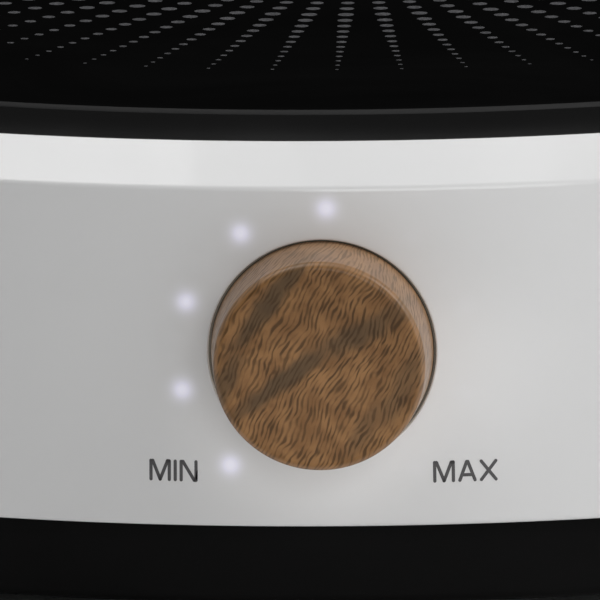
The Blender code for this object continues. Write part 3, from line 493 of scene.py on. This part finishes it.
def arc(radius, start, end, steps, centre=(0, 0)):
    """Points along an arc, with angles in degrees."""
    angles = [math.radians(start + (end - start) * step / steps) for step in range(steps + 1)]
    return [(centre[0] + radius * math.cos(angle), centre[1] + radius * math.sin(angle))
            for angle in angles]


def rounded(points, radii, steps=5):
    """A closed outline with each corner rounded by its own radius."""
    made = []
    count = len(points)
    for index, (point, radius) in enumerate(zip(points, radii)):
        here = Vector(point)
        before = (Vector(points[index - 1]) - here).normalized()
        after = (Vector(points[(index + 1) % count]) - here).normalized()
        if radius <= 0:
            made.append(tuple(here))
            continue
        half = math.acos(max(-1.0, min(1.0, before.dot(after)))) / 2
        back = radius / math.tan(half)
        centre = here + (before + after).normalized() * (radius / math.sin(half))
        first, last = here + before * back - centre, here + after * back - centre
        sweep = first.angle_signed(last)
        for step in range(steps + 1):
            made.append(tuple(centre + Matrix.Rotation(-sweep * (step / steps), 2) @ first))
    return made


def spin(profile, segments, ring=True, place=None):
    """A bmesh turned about Z from (radius, height) points."""
    bm = bmesh.new()
    points = [bm.verts.new((radius, 0, height)) for radius, height in profile]
    ends = points[1:] + points[:1] if ring else points[1:]
    edges = [bm.edges.new(pair) for pair in zip(points, ends)]
    bmesh.ops.spin(bm, geom=points + edges, cent=(0, 0, 0), axis=(0, 0, 1),
                   angle=2 * math.pi, steps=segments, use_merge=True)
    bmesh.ops.remove_doubles(bm, verts=bm.verts, dist=1e-7)
    if place:
        bmesh.ops.transform(bm, matrix=place, verts=bm.verts)
    return bm


def combined(bm, *steps):
    """The closed mesh left by a chain of Booleans, each an operation and another bmesh."""
    helpers = []
    for source in (bm, *(tool for _, tool in steps)):
        bmesh.ops.recalc_face_normals(source, faces=source.faces)
        mesh = bpy.data.meshes.new("helper")
        source.to_mesh(mesh)
        source.free()
        helper = bpy.data.objects.new("helper", mesh)
        bpy.context.scene.collection.objects.link(helper)
        helpers.append(helper)
    for helper, (operation, _) in zip(helpers[1:], steps):
        step = helpers[0].modifiers.new("step", "BOOLEAN")
        step.object, step.operation, step.solver = helper, operation, "EXACT"
    graph = bpy.context.evaluated_depsgraph_get()
    mesh = bpy.data.meshes.new_from_object(helpers[0].evaluated_get(graph))
    for helper in helpers:
        bpy.data.meshes.remove(helper.data)
    made = bmesh.new()
    made.from_mesh(mesh)
    bpy.data.meshes.remove(mesh)
    return made


def prism(bm, outline, low, high, place=None):
    """Add a straight prism of an outline to a bmesh."""
    rims = [[bm.verts.new((x, y, z)) for x, y in outline] for z in (low, high)]
    for rim in rims:
        bm.faces.new(rim)
    bridge(bm, *rims)
    if place:
        bmesh.ops.transform(bm, matrix=place, verts=rims[0] + rims[1])


def disc(radius, middle=(0, 0), sides=32):
    return arc(radius, 0, 360, sides, middle)[:-1]


def slot(half_width, half_length, steps=8):
    """Outline of a slot with round ends, long in Y."""
    reach = half_length - half_width
    return (arc(half_width, 0, 180, steps, (0, reach))
            + arc(half_width, 180, 360, steps, (0, -reach)))


def box_outline(half_width, half_length, corner, steps=4):
    """Outline of a rectangle with round corners."""
    outline = []
    for turn, (x, y) in enumerate(((1, 1), (-1, 1), (-1, -1), (1, -1))):
        outline += arc(corner, 90 * turn, 90 * turn + 90, steps,
                       (x * (half_width - corner), y * (half_length - corner)))
    return outline


# ---------- housing

def wall_radius(height):
    share = (height - WALL_FOOT_Z) / (SHOULDER_Z - WALL_FOOT_Z)
    return WALL_FOOT_RADIUS + (SHOULDER_RADIUS - WALL_FOOT_RADIUS) * share


class Opening:
    """A round hole through the side wall, with its square patch of finer mesh."""

    def __init__(self, facing, height, radius, half, steps, edge):
        self.facing, self.height, self.radius = facing, height, radius
        self.half, self.steps, self.edge = half, steps, edge
        middle = wall_radius(height)
        offsets = [half * (2 * step / steps - 1) for step in range(steps + 1)]
        self.columns = [facing + math.asin(offset / middle) for offset in offsets]
        self.rows = [height - offset for offset in offsets]

    def point(self, across, up, radius, inward=0.0):
        """A point on a turned surface, at a distance across and above the hole's axis."""
        near = math.sqrt(radius ** 2 - across ** 2) - inward
        turn = Matrix.Rotation(self.facing, 3, "Z")
        return turn @ Vector((across, -near, self.height + up))


def angles_round(openings, step):
    """Column angles round the body: fine at the openings and even in between."""
    marks = []
    for opening in sorted(openings, key=lambda item: item.facing):
        marks += opening.columns
    angles = marks
    ends = [(openings[0].columns[-1], openings[1].columns[0]),
            (openings[1].columns[-1], openings[0].columns[0] + 2 * math.pi)]
    for start, end in ends:
        count = max(1, round((end - start) / step))
        angles += [start + (end - start) * number / count for number in range(1, count)]
    return sorted(angles)


SLIP = 1e-9                       # slack when places that should be equal are compared


def make_housing():
    dial = Opening(0.0, DIAL_Z, DIAL_HOLE_RADIUS, 20.0 * MM, 40, 0.22 * MM)
    gland = Opening(math.pi, GLAND_Z, GLAND_HOLE_RADIUS, 10.0 * MM, 20, 0.2 * MM)
    openings = [dial, gland]
    columns = angles_round(openings, math.radians(0.75))
    seat = BEZEL_RADIUS + GAP
    heights = sorted(set(dial.rows + gland.rows), reverse=True)
    outer = [(wall_radius(height), height) for height in heights]
    inner = [(wall_radius(height) - WALL_THICKNESS, height) for height in reversed(heights)]
    slope = (HOUSING_TOP - SHOULDER_Z) / (SHOULDER_RADIUS - seat)
    corner = rounded([(seat + SHOULDER_REACH, HOUSING_TOP - SHOULDER_REACH * slope),
                      (SHOULDER_RADIUS, SHOULDER_Z), (wall_radius(UPPER_WALL_Z), UPPER_WALL_Z)],
                     [0, SHOULDER_ROUND, 0], 8)[1:-1]
    lip = 0.25 * MM
    profile = [
        (seat, HOUSING_TOP - lip),
        (seat + 0.3 * lip, HOUSING_TOP - 0.3 * lip),
        (seat + lip, HOUSING_TOP - 0.3 * lip),
        *corner,
        *outer,
        (WALL_FOOT_RADIUS - 0.02 * MM, WALL_FOOT_Z + 0.8 * MM),
        *[(WALL_FOOT_RADIUS - 0.4 * MM + x, WALL_FOOT_Z + 0.4 * MM + z)
          for x, z in arc(0.4 * MM, 0, -90, 5)],
        (WALL_FOOT_RADIUS - WALL_THICKNESS, WALL_FOOT_Z),
        *inner,
        (wall_radius(SHELF_Z) - WALL_THICKNESS, SHELF_Z),
        (SHELF_RADIUS, SHELF_Z),
        (SHELF_RADIUS, SHELF_TOP),
        (seat, SHELF_TOP),
    ]
    bm = bmesh.new()
    grid = {}

    def vertex(row, column):
        if (row, column) not in grid:
            radius, height = profile[row]
            angle = columns[column]
            grid[row, column] = bm.verts.new(
                (radius * math.sin(angle), -radius * math.cos(angle), height))
        return grid[row, column]

    first_outer = profile.index(outer[0])
    first_inner = profile.index(inner[0])
    # For each side of the wall: its depth, whether its holes have a rounded edge, and the
    # profile's row at each height.
    sides = (
        (0.0, True, {height: first_outer + number for number, height in enumerate(heights)}),
        (WALL_THICKNESS, False, {height: first_inner + len(heights) - 1 - number
                                 for number, height in enumerate(heights)}),
    )

    def inside(opening, row, column):
        """Whether the face below and right of a grid point lies in the opening's patch."""
        on_wall = any(first <= row < first + len(heights) - 1 for first in (first_outer, first_inner))
        ends = (profile[row][1], profile[(row + 1) % len(profile)][1])
        return (on_wall
                and all(opening.rows[-1] - SLIP <= end <= opening.rows[0] + SLIP for end in ends)
                and opening.columns[0] - SLIP <= columns[column] < opening.columns[-1] - SLIP)

    count = len(columns)
    for row in range(len(profile)):
        for column in range(count):
            if any(inside(opening, row, column) for opening in openings):
                continue
            below, right = (row + 1) % len(profile), (column + 1) % count
            bm.faces.new((vertex(row, column), vertex(row, right),
                          vertex(below, right), vertex(below, column)))

    for opening in openings:
        rims = []
        for depth, has_edge, rows in sides:
            first = columns.index(opening.columns[0])
            across = [number % count for number in range(first, first + opening.steps + 1)]
            listed = [rows[height] for height in opening.rows]
            border = [(listed[0], column) for column in across]
            border += [(row, across[-1]) for row in listed[1:]]
            border += [(listed[-1], column) for column in reversed(across[:-1])]
            border += [(row, across[0]) for row in reversed(listed[1:-1])]
            rims.append(patch(bm, opening, [vertex(*spot) for spot in border], depth,
                              opening.edge if has_edge else 0.0))
        bridge(bm, rims[0], rims[1])
    finish_piece("housing", bm, "housing_white", "root", "housing_shell")


def bridge(bm, first, second):
    """Join two loops of the same length with faces."""
    count = len(first)
    for number in range(count):
        after = (number + 1) % count
        bm.faces.new((first[number], first[after], second[after], second[number]))


def patch(bm, opening, border, thickness, edge):
    """Fill the space between a square border and a hole, and return the hole's rim."""
    turn = Matrix.Rotation(-opening.facing, 3, "Z")
    spots = [turn @ corner.co for corner in border]
    local = [Vector((spot.x, spot.z - opening.height)) for spot in spots]
    reach = opening.radius + edge
    before = border
    for share in (0.75, 0.5, 0.3, 0.15, 0.06, 0.0):
        loop = []
        for spot in local:
            flat = (spot.normalized() * reach).lerp(spot, share)
            radius = wall_radius(opening.height + flat.y) - thickness
            loop.append(bm.verts.new(opening.point(flat.x, flat.y, radius)))
        bridge(bm, before, loop)
        before = loop
    if edge:
        steps = 5
        for step in range(1, steps + 1):
            angle = math.pi / 2 * step / steps
            out = opening.radius + edge * (1 - math.sin(angle))
            inward = edge * (1 - math.cos(angle))
            loop = []
            for spot in local:
                flat = spot.normalized() * out
                radius = wall_radius(opening.height + flat.y)
                loop.append(bm.verts.new(opening.point(flat.x, flat.y, radius, inward)))
            bridge(bm, before, loop)
            before = loop
    return before


# ---------- top: glass, dots and bezel

def make_glass():
    """Glass-ceramic plate with a ground edge. Its top is a dot's height below the highest point."""
    bevel = GLASS_BEVEL
    top = TOP_Z - DOT_HEIGHT
    profile = [
        (0, GLASS_LOW),
        (GLASS_RADIUS - 0.3 * MM, GLASS_LOW),
        (GLASS_RADIUS, GLASS_LOW + 0.3 * MM),
        (GLASS_RADIUS, TOP_Z - bevel - 0.05 * MM),
        (GLASS_RADIUS - 0.02 * MM, TOP_Z - bevel + 0.02 * MM),
        (GLASS_RADIUS - bevel + 0.04 * MM, TOP_Z - 0.05 * MM),
        (GLASS_RADIUS - bevel - 0.04 * MM, top),
        (GLASS_RADIUS - bevel - 2 * MM, top),
        (0, top),
    ]
    finish_piece("glass_top", spin(profile, 512, ring=False), "glass_black", "root",
                 "glass_plate")


DOT_LINES = 72
DOT_TURN = math.radians(0.44)
DOT_OUTER = 104.7 * MM
DOT_INNER = 16.0 * MM
DOT_SINK = 0.01 * MM


def dot_rings():
    """(radius, dot radius) along one line, from the outer end to the inner end."""
    widest = 61.5 * MM
    radius, found = DOT_OUTER, []
    while radius > DOT_INNER:
        out = abs(radius - widest) / (DOT_OUTER - widest)
        if radius < widest:
            out = (widest - radius) / (widest - DOT_INNER)
        size = (2.35 - 1.85 * min(1.0, out)) * MM
        found.append((radius, size / 2))
        radius -= (3.35 + 1.55 * (1 - min(1.0, out))) * MM
    return found


def make_dots():
    """The printed field: lines of round dots that swell towards the coil's middle radius."""
    bm = bmesh.new()
    for line in range(DOT_LINES):
        angle = 2 * math.pi * line / DOT_LINES + DOT_TURN
        for radius, half in dot_rings():
            middle = (radius * math.sin(angle), -radius * math.cos(angle))
            prism(bm, disc(half, middle, 20), TOP_Z - DOT_HEIGHT - DOT_SINK, TOP_Z)
    finish_piece("dot_print", bm, "glass_print", "root", flat=True)


def make_bezel():
    inner = GLASS_RADIUS + GAP
    shelf_top = GLASS_LOW - 1.1 * MM
    shelf_inner = 128.0 * MM
    crest = TOP_Z - GLASS_BEVEL
    edge_z = HOUSING_TOP
    slope = []
    for step in range(25):
        share = step / 24
        bulge = 0.25 * MM * math.sin(math.pi * share)
        slope.append((inner + (BEZEL_RADIUS - inner) * share + 0.4 * bulge,
                      crest + (edge_z - crest) * share + bulge))
    profile = [
        *slope,
        (BEZEL_RADIUS, BEZEL_LOW),
        (shelf_inner, BEZEL_LOW),
        (shelf_inner, shelf_top),
        (inner, shelf_top),
        (inner, crest - 0.3 * MM),
    ]
    finish_piece("bezel", spin(profile, 512), "bezel_black", "root", "bezel_ring")


# ---------- dial

def make_knob():
    """Knob cap: a slightly tapered cup with a rounded front edge."""
    front = 14.75 * MM
    edge = 1.2 * MM
    floor = KNOB_FACE_OUT - 2.2 * MM
    bore = front - 1.6 * MM
    crown = 0.06 * MM
    face = [(0, KNOB_FACE_OUT), (0.5 * front, KNOB_FACE_OUT - 0.3 * crown),
            (0.85 * (front - edge), KNOB_FACE_OUT - 0.8 * crown)]
    round_edge = arc(edge, 90, 4, 16, (front - edge, KNOB_FACE_OUT - crown - edge))
    profile = [
        *face,
        *round_edge,
        (KNOB_SKIRT_RADIUS, KNOB_SKIRT_OUT + 0.3 * MM),
        (KNOB_SKIRT_RADIUS - 0.3 * MM, KNOB_SKIRT_OUT),
        (bore, KNOB_SKIRT_OUT),
        (bore, floor),
        (0, floor),
    ]
    finish_piece("knob", spin(profile, 256, ring=False, place=ON_DIAL), "wood_print",
                 "knob", "knob_cap")


def make_collar():
    """Collar that keeps lamp light out of the dial's hole, with a soft lip in the gap."""
    low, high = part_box("light_collar")
    inner, outer = 15.7 * MM, high.x
    back, front = -high.y, -low.y
    lip_inner, lip_outer = KNOB_SKIRT_RADIUS + 0.07 * MM, DIAL_HOLE_RADIUS - 0.04 * MM
    lip_front = KNOB_SKIRT_OUT + 0.25 * MM
    nose = (lip_outer - lip_inner) / 2
    profile = [
        (inner, back),
        (outer, back),
        (outer, front),
        (lip_outer, front + 0.1 * MM),
        *arc(nose, 0, 180, 6, ((lip_inner + lip_outer) / 2, lip_front - nose)),
        (lip_inner, front + 0.1 * MM),
        (inner, front - 0.1 * MM),
    ]
    collar = finish_piece("dial_collar", spin(profile, 192, place=ON_DIAL), "plastic_black",
                          "root", "light_collar")
    collar.data.materials[0] = painted_glow_collar_look()


# ---------- lettering

LETTER_HEIGHT = 2.63 * MM
STROKE = 0.23 * MM                # half of a stroke's width
INK = 0.03 * MM
# Width in millimetres and strokes, each a line of points in shares of width and height.
LETTERS = {
    "M": (2.6, [[(0, 0), (0, 1), (0.1, 1), (0.5, 0), (0.9, 1), (1, 1), (1, 0)]]),
    "I": (0.0, [[(0, 0), (0, 1)]]),
    "N": (2.1, [[(0, 0), (0, 1), (0.12, 1), (0.88, 0), (1, 0), (1, 1)]]),
    "A": (2.12, [[(0, 0), (0.46, 1), (0.54, 1), (1, 0)], [(0.15, 0.29), (0.85, 0.29)]]),
    "X": (2.05, [[(0, 0), (1, 1)], [(0, 1), (1, 0)]]),
}


def stroke(start, end):
    """A flat bar with round ends between two points, one unit thick."""
    along = (end - start).normalized()
    side = Vector((-along.y, along.x))
    rim = []
    for centre, first in ((end, -90), (start, 90)):
        for step in range(9):
            angle = math.radians(first + 180 * step / 8)
            rim.append(centre + (along * math.cos(angle) + side * math.sin(angle)) * STROKE)
    bm = bmesh.new()
    prism(bm, rim, 0, 1)
    return bm


def letter_mesh(strokes, width):
    """The union of a letter's strokes, as a mesh one unit thick."""
    bars = []
    for line in strokes:
        spots = [Vector((x * width, y * LETTER_HEIGHT)) for x, y in line]
        bars += [stroke(start, end) for start, end in zip(spots, spots[1:])]
    return combined(bars[0], *[("UNION", bar) for bar in bars[1:]])


def make_word(name, word, centre, height, spacing, tilt):
    """A word printed on the curved wall, centred at a distance across and a height."""
    bm = bmesh.new()
    cursor, spans = 0.0, []
    for letter in word:
        spans.append(cursor)
        cursor += LETTERS[letter][0] * MM + spacing
    total = cursor - spacing
    for letter, start in zip(word, spans):
        width, strokes = LETTERS[letter]
        shape = letter_mesh(strokes, width * MM)
        mesh = bpy.data.meshes.new("letter")
        shape.to_mesh(mesh)
        shape.free()
        before = len(bm.verts)
        bm.from_mesh(mesh)
        bpy.data.meshes.remove(mesh)
        bm.verts.ensure_lookup_table()
        for corner in bm.verts[before:]:
            x = corner.co.x + start - total / 2
            y = corner.co.y - LETTER_HEIGHT / 2
            across = x * math.cos(tilt) - y * math.sin(tilt) + centre
            up = x * math.sin(tilt) + y * math.cos(tilt) + height
            out = wall_radius(up) + (INK if corner.co.z > 0.5 else -INK)
            angle = across / wall_radius(up)
            corner.co = (out * math.sin(angle), -out * math.cos(angle), up)
    finish_piece(name, bm, "legend_grey", "root")


# ---------- base, feet and gland

CORNERS = [math.radians(45 + 90 * corner) for corner in range(4)]
SCREW_HEAD_RADIUS = 3.5 * MM
SCREW_HEAD_TOP = 8.7 * MM
SCREW_SHANK_RADIUS = 1.6 * MM
FOOT_STEM_RADIUS = 2.6 * MM
PILLAR_CIRCLE = 136.5 * MM
BOSS_RADIUS = 6.5 * MM
BOSS_TOP_Z = 22.2 * MM
STANDOFF_INSET = 6 * MM
INTAKE_SLOTS, INTAKE_PITCH, INTAKE_WIDTH, INTAKE_RADIUS = 9, 7.5 * MM, 4 * MM, 34 * MM
OUTLET_SLOTS, OUTLET_STEP, OUTLET_WIDTH = 13, math.radians(5), 4.5 * MM
OUTLET_Z = (8.5 * MM, 15.5 * MM)
GLAND_BORE, GLAND_SLEEVE = 3.9 * MM, 7.2 * MM


def at_angle(radius, angle):
    return radius * math.cos(angle), radius * math.sin(angle)


def corner_circle(node):
    """How far from the body's axis a piece of the first corner stands."""
    low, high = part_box(node)
    return math.hypot((low.x + high.x) / 2, (low.y + high.y) / 2)


SCREW_CIRCLE = corner_circle("base_screw_1")
FOOT_CIRCLE = corner_circle("foot_1")


def bosses():
    """The four screw bosses and the standoffs of the main board, sunk into the tray's floor."""
    bm = bmesh.new()
    root = BASE_Z + 1 * MM
    for angle in CORNERS:
        prism(bm, disc(BOSS_RADIUS, at_angle(SCREW_CIRCLE, angle), 48), root, BOSS_TOP_Z)
    low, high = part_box("main_board")
    for x in (low.x + STANDOFF_INSET, high.x - STANDOFF_INSET):
        for y in (low.y + STANDOFF_INSET, high.y - STANDOFF_INSET):
            prism(bm, disc(3 * MM, (x, y)), root, low.z - GAP)
    return bm


def base_holes():
    """Everything that is cut out of the tray: screw wells, stem holes and vents."""
    bm = bmesh.new()
    for angle in CORNERS:
        screw = at_angle(SCREW_CIRCLE, angle)
        prism(bm, disc(SCREW_HEAD_RADIUS + GAP, screw, 48), 0, SCREW_HEAD_TOP + GAP)
        prism(bm, disc(FOOT_STEM_RADIUS + GAP, at_angle(FOOT_CIRCLE, angle)), 0, 12 * MM)
    fan_low, fan_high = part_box("fan_frame")
    fan = (fan_low + fan_high) / 2
    for number in range(INTAKE_SLOTS):
        across = (number - (INTAKE_SLOTS - 1) / 2) * INTAKE_PITCH
        reach = math.sqrt(INTAKE_RADIUS ** 2 - across ** 2)
        prism(bm, slot(INTAKE_WIDTH / 2, reach), 0, BASE_Z + 5 * MM,
              Matrix.Translation((fan.x + across, fan.y, 0)))
    low, high = OUTLET_Z
    upright = Matrix.Rotation(math.pi / 2, 4, "Y") @ Matrix.Rotation(math.pi / 2, 4, "Z")
    for number in range(OUTLET_SLOTS):
        angle = math.pi / 2 + (number - (OUTLET_SLOTS - 1) / 2) * OUTLET_STEP
        prism(bm, box_outline(OUTLET_WIDTH / 2, (high - low) / 2, 1 * MM),
              BASE_RADIUS - 6 * MM, BASE_RADIUS + 4 * MM,
              Matrix.Rotation(angle, 4, "Z") @ Matrix.Translation((0, 0, (low + high) / 2))
              @ upright)
    return bm


def screw_bores():
    bm = bmesh.new()
    for angle in CORNERS:
        prism(bm, disc(SCREW_SHANK_RADIUS + GAP, at_angle(SCREW_CIRCLE, angle)), 0, 30 * MM)
    return bm


def make_base():
    """Black tray under the body, with intake slots below and outlet slots at the back."""
    thick = 2 * MM
    floor = BASE_Z + thick
    inner = BASE_RADIUS - thick
    edge = 1.6 * MM
    profile = [
        (0, BASE_Z),
        (BASE_RADIUS - edge - 8 * MM, BASE_Z),
        *[(BASE_RADIUS - edge + x, BASE_Z + edge + z) for x, z in arc(edge, -90, 0, 6)],
        (BASE_RADIUS, BASE_RIM_Z),
        (inner, BASE_RIM_Z),
        (inner, floor),
        (0, floor),
    ]
    tray = combined(spin(profile, 240, ring=False), ("UNION", bosses()),
                    ("DIFFERENCE", base_holes()), ("DIFFERENCE", screw_bores()))
    finish_piece("base", tray, "base_black", "root", "base_cover")


def make_pillars():
    """Screw pillars inside the wall, each with a web that reaches the wall."""
    low, reach = BOSS_TOP_Z + GAP, wall_radius(SHELF_Z) - WALL_THICKNESS - 0.1 * MM
    thick = 1.5 * MM
    for number, angle in enumerate(CORNERS, 1):
        place = Matrix.Rotation(angle, 4, "Z")
        pillar, web, bore = bmesh.new(), bmesh.new(), bmesh.new()
        prism(pillar, disc(5 * MM, (PILLAR_CIRCLE, 0), 40), low, SHELF_Z, place)
        prism(web, [(PILLAR_CIRCLE, -thick), (reach, -thick), (reach, thick),
                    (PILLAR_CIRCLE, thick)], low + 4 * MM, SHELF_Z, place)
        prism(bore, disc(SCREW_SHANK_RADIUS + GAP, (SCREW_CIRCLE, 0)), low - 1 * MM,
              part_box("base_screw_1")[1].z + 1 * MM, place)
        finish_piece(f"housing_pillar_{number}",
                     combined(pillar, ("UNION", web), ("DIFFERENCE", bore)),
                     "housing_white", "root")


def make_feet():
    """Rubber feet with a rounded tread and a shallow dish in their underside."""
    low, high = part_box("foot_1")
    radius = (high.x - low.x) / 2
    stem_top = high.z
    top = BASE_Z - GAP
    edge = 1.0 * MM
    profile = [
        (0, 0.5 * MM),
        (0.62 * radius, 0.5 * MM),
        (0.70 * radius, 0.12 * MM),
        (0.74 * radius, 0),
        *[(radius - edge + x, edge + z) for x, z in arc(edge, -90, 0, 5)],
        (radius, top - 0.3 * MM),
        (radius - 0.3 * MM, top),
        (FOOT_STEM_RADIUS, top),
        (FOOT_STEM_RADIUS, stem_top - 0.4 * MM),
        (FOOT_STEM_RADIUS - 0.4 * MM, stem_top),
        (0, stem_top),
    ]
    for number, angle in enumerate(CORNERS, 1):
        place = Matrix.Translation((*at_angle(FOOT_CIRCLE, angle), 0))
        finish_piece(f"rubber_foot_{number}", spin(profile, 64, ring=False, place=place),
                     "foot_rubber", "root", f"foot_{number}")


def make_screws():
    """Pan-head screws with a cross recess, seen in their wells from below."""
    low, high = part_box("base_screw_1")
    radius = SCREW_HEAD_RADIUS
    half, reach = 0.35 * MM, 1.7 * MM      # half the width and length of the recess's arms
    profile = [
        (0, low.z),
        (0.45 * radius, low.z + 0.05 * MM),
        (0.75 * radius, low.z + 0.25 * MM),
        (0.93 * radius, low.z + 0.6 * MM),
        (radius, low.z + 1.1 * MM),
        (radius, SCREW_HEAD_TOP - 0.1 * MM),
        (radius - 0.1 * MM, SCREW_HEAD_TOP),
        (SCREW_SHANK_RADIUS, SCREW_HEAD_TOP),
        (SCREW_SHANK_RADIUS, high.z - 1.5 * MM),
        (0, high.z),
    ]
    for number, angle in enumerate(CORNERS, 1):
        place = Matrix.Translation((*at_angle(SCREW_CIRCLE, angle), 0))
        cuts = []
        for arm in ((half, reach), (reach, half)):
            cut = bmesh.new()
            prism(cut, box_outline(*arm, 0.15 * MM), 0, low.z + 1.5 * MM, place)
            cuts.append(("DIFFERENCE", cut))
        screw = combined(spin(profile, 48, ring=False, place=place), *cuts)
        finish_piece(f"screw_{number}", screw, "screw_steel", "root", f"base_screw_{number}")


def make_gland():
    """Rubber cord gland: a flange on the wall and a ribbed, tapered sleeve."""
    inner_end, outer_end = GLAND_LOW.y, GLAND_HIGH.y
    flange_radius = (GLAND_HIGH.x - GLAND_LOW.x) / 2
    flange = WALL_FOOT_RADIUS + GAP
    flange_out = flange + 2 * MM
    ribs, count, groove = [], 4, 0.7 * MM
    first, last = flange_out + 0.5 * MM, outer_end - 0.7 * MM
    for number in range(count):
        start = first + (last - first) * number / count
        end = first + (last - first) * (number + 1) / count
        radius = 8.1 * MM + (6.6 - 8.1) * MM * number / count
        width = end - start
        ribs += [(radius, start), (radius, start + 0.55 * width),
                 (radius - groove, start + 0.65 * width), (radius - groove, end)]
    profile = [
        (GLAND_BORE, inner_end),
        (GLAND_SLEEVE - 0.3 * MM, inner_end),
        (GLAND_SLEEVE, inner_end + 0.3 * MM),
        (GLAND_SLEEVE, flange),
        (flange_radius, flange),
        *[(flange_radius - 0.7 * MM + x, flange_out - 0.7 * MM + y)
          for x, y in arc(0.7 * MM, 0, 90, 5)],
        *ribs,
        (6.0 * MM, outer_end - 0.5 * MM),
        (5.6 * MM, outer_end),
        (GLAND_BORE + 0.3 * MM, outer_end),
        (GLAND_BORE, outer_end - 0.3 * MM),
    ]
    finish_piece("gland", spin(profile, 96, place=ON_GLAND), "gland_black", "root", "cord_gland")


# ---------- camera, light and floor

def aim(thing, target):
    thing.rotation_mode = "QUATERNION"
    direction = Vector(target) - thing.location
    thing.rotation_quaternion = direction.to_track_quat("-Z", "Y")


def make_camera():
    """A long lens from the front, slightly right of the middle and above."""
    yaw, pitch, roll = math.radians(2.336), math.radians(10.904), math.radians(-0.687)
    place = (0.1038, -2.767, 0.5542)
    lens_data = bpy.data.cameras.new("camera")
    lens_data.sensor_width = 36.0
    lens_data.lens = 1152.0
    lens_data.clip_start = 0.1
    lens_data.clip_end = 100.0
    camera = bpy.data.objects.new("camera", lens_data)
    ahead = Vector((-math.sin(yaw) * math.cos(pitch), math.cos(yaw) * math.cos(pitch),
                    -math.sin(pitch)))
    side = Vector((math.cos(yaw), math.sin(yaw), 0))
    above = side.cross(ahead)
    right = math.cos(roll) * side + math.sin(roll) * above
    up = -math.sin(roll) * side + math.cos(roll) * above
    camera.matrix_world = Matrix((
        (right.x, up.x, -ahead.x, place[0]),
        (right.y, up.y, -ahead.y, place[1]),
        (right.z, up.z, -ahead.z, place[2]),
        (0, 0, 0, 1)))
    bpy.context.scene.collection.objects.link(camera)
    bpy.context.scene.camera = camera


LIGHT_DISTANCE = 1.5
LIGHT_SIZE = 0.75
LIGHT_CENTRE = Vector((0, 0, 0.05))
LIGHT_TARGET = Vector((0, -0.15, 0.04))

# Name, degrees to the right of the front, degrees above the floor, watts.
SOFTBOXES = (
    ("front_low", 10, 15, 4.2),
    ("right_low", 70, 15, 3.7),
    ("right_key", 70, 40, 8.5),
    ("right_high", 70, 65, 0.6),
    ("left_side", -80, 40, 0.3),
    ("left_high", -80, 65, 3.9),
    ("left_front_high", -50, 65, 2.3),
    ("overhead_front", 0, 85, 1.3),
    ("overhead_right", 60, 85, 1.1),
)

# Fill for the back of the body, left out of reflections so that the glass stays black.
BACK_FILLS = (
    ("back_right", 135, 35, 4.5),
    ("back_left", -135, 35, 4.5),
)


def hang(data, azimuth, elevation, power, target, reflected=True):
    """Place a light at a direction from the body, in degrees, and aim it."""
    data.energy = power
    across, rise = math.radians(azimuth), math.radians(elevation)
    lamp = bpy.data.objects.new(data.name, data)
    lamp.location = LIGHT_CENTRE + LIGHT_DISTANCE * Vector((
        math.cos(rise) * math.sin(across), -math.cos(rise) * math.cos(across), math.sin(rise)))
    aim(lamp, target)
    lamp.visible_camera = False
    lamp.visible_glossy = reflected
    bpy.context.scene.collection.objects.link(lamp)


def softbox(name, azimuth, elevation, power, reflected=True):
    """A square soft light aimed at the body's front."""
    data = bpy.data.lights.new(name, "AREA")
    data.shape = "SQUARE"
    data.size = LIGHT_SIZE
    hang(data, azimuth, elevation, power, LIGHT_TARGET, reflected)


# Narrow soft spots on the dial: name, degrees right of the front, degrees above the floor, cone in
# degrees, watts, and the spot they are aimed at, across and above the dial's axis.
SPOTS = (
    ("dial_fill", 3, 4, 1.6, 12.0, (-2 * MM, -9 * MM)),
    ("kicker", 38, 8, 1.15, 6.0, (20 * MM, -3 * MM)),
)


SPOT_SIZE = 0.006
SPOT_TARGET_Y = -0.149


def spotlight(name, azimuth, elevation, cone, power, target):
    """A narrow soft spot aimed at a place across and above the dial's axis."""
    data = bpy.data.lights.new(name, "SPOT")
    data.spot_size = math.radians(cone)
    data.spot_blend = 1.0
    data.shadow_soft_size = SPOT_SIZE
    hang(data, azimuth, elevation, power, (target[0], SPOT_TARGET_Y, DIAL_Z + target[1]))


def make_studio():
    look = Look("studio_floor", grey(0.72), 0.6)
    look.tint(look.span(look.noise(3.0, 3.0), 0.3, 0.7), grey(0.70), grey(0.74))
    bm = bmesh.new()
    bmesh.ops.create_grid(bm, x_segments=1, y_segments=1, size=30)
    mesh = bpy.data.meshes.new("floor")
    bm.to_mesh(mesh)
    bm.free()
    mesh.materials.append(look.material)
    floor = bpy.data.objects.new("floor", mesh)
    bpy.context.scene.collection.objects.link(floor)

    world = bpy.data.worlds.new("studio")
    world.use_nodes = True
    background = world.node_tree.nodes["Background"]
    background.inputs["Color"].default_value = (1, 1, 1, 1)
    background.inputs["Strength"].default_value = 0.001
    bpy.context.scene.world = world
    bpy.context.scene.view_settings.view_transform = "Standard"

    for settings in SOFTBOXES:
        softbox(*settings)
    for settings in BACK_FILLS:
        softbox(*settings, reflected=False)
    for settings in SPOTS:
        spotlight(*settings)


# ---------- the whole picture

def main():
    for entry in frame["record"]["subparts"]:
        node = frame["nodes"][entry["node"]]
        for holder in node.material_slots:
            holder.material = SLOT_LOOKS[entry["material_slot"]]
    make_camera()
    make_housing()
    make_glass()
    make_dots()
    make_bezel()
    make_knob()
    make_collar()
    make_word("legend_min", "MIN", -21.0 * MM, DIAL_Z - 16.9 * MM, 0.84 * MM, math.radians(-0.6))
    make_word("legend_max", "MAX", 19.8 * MM, DIAL_Z - 17.1 * MM, 0.90 * MM, math.radians(0.3))
    make_base()
    make_pillars()
    make_feet()
    make_screws()
    make_gland()
    make_studio()


main()
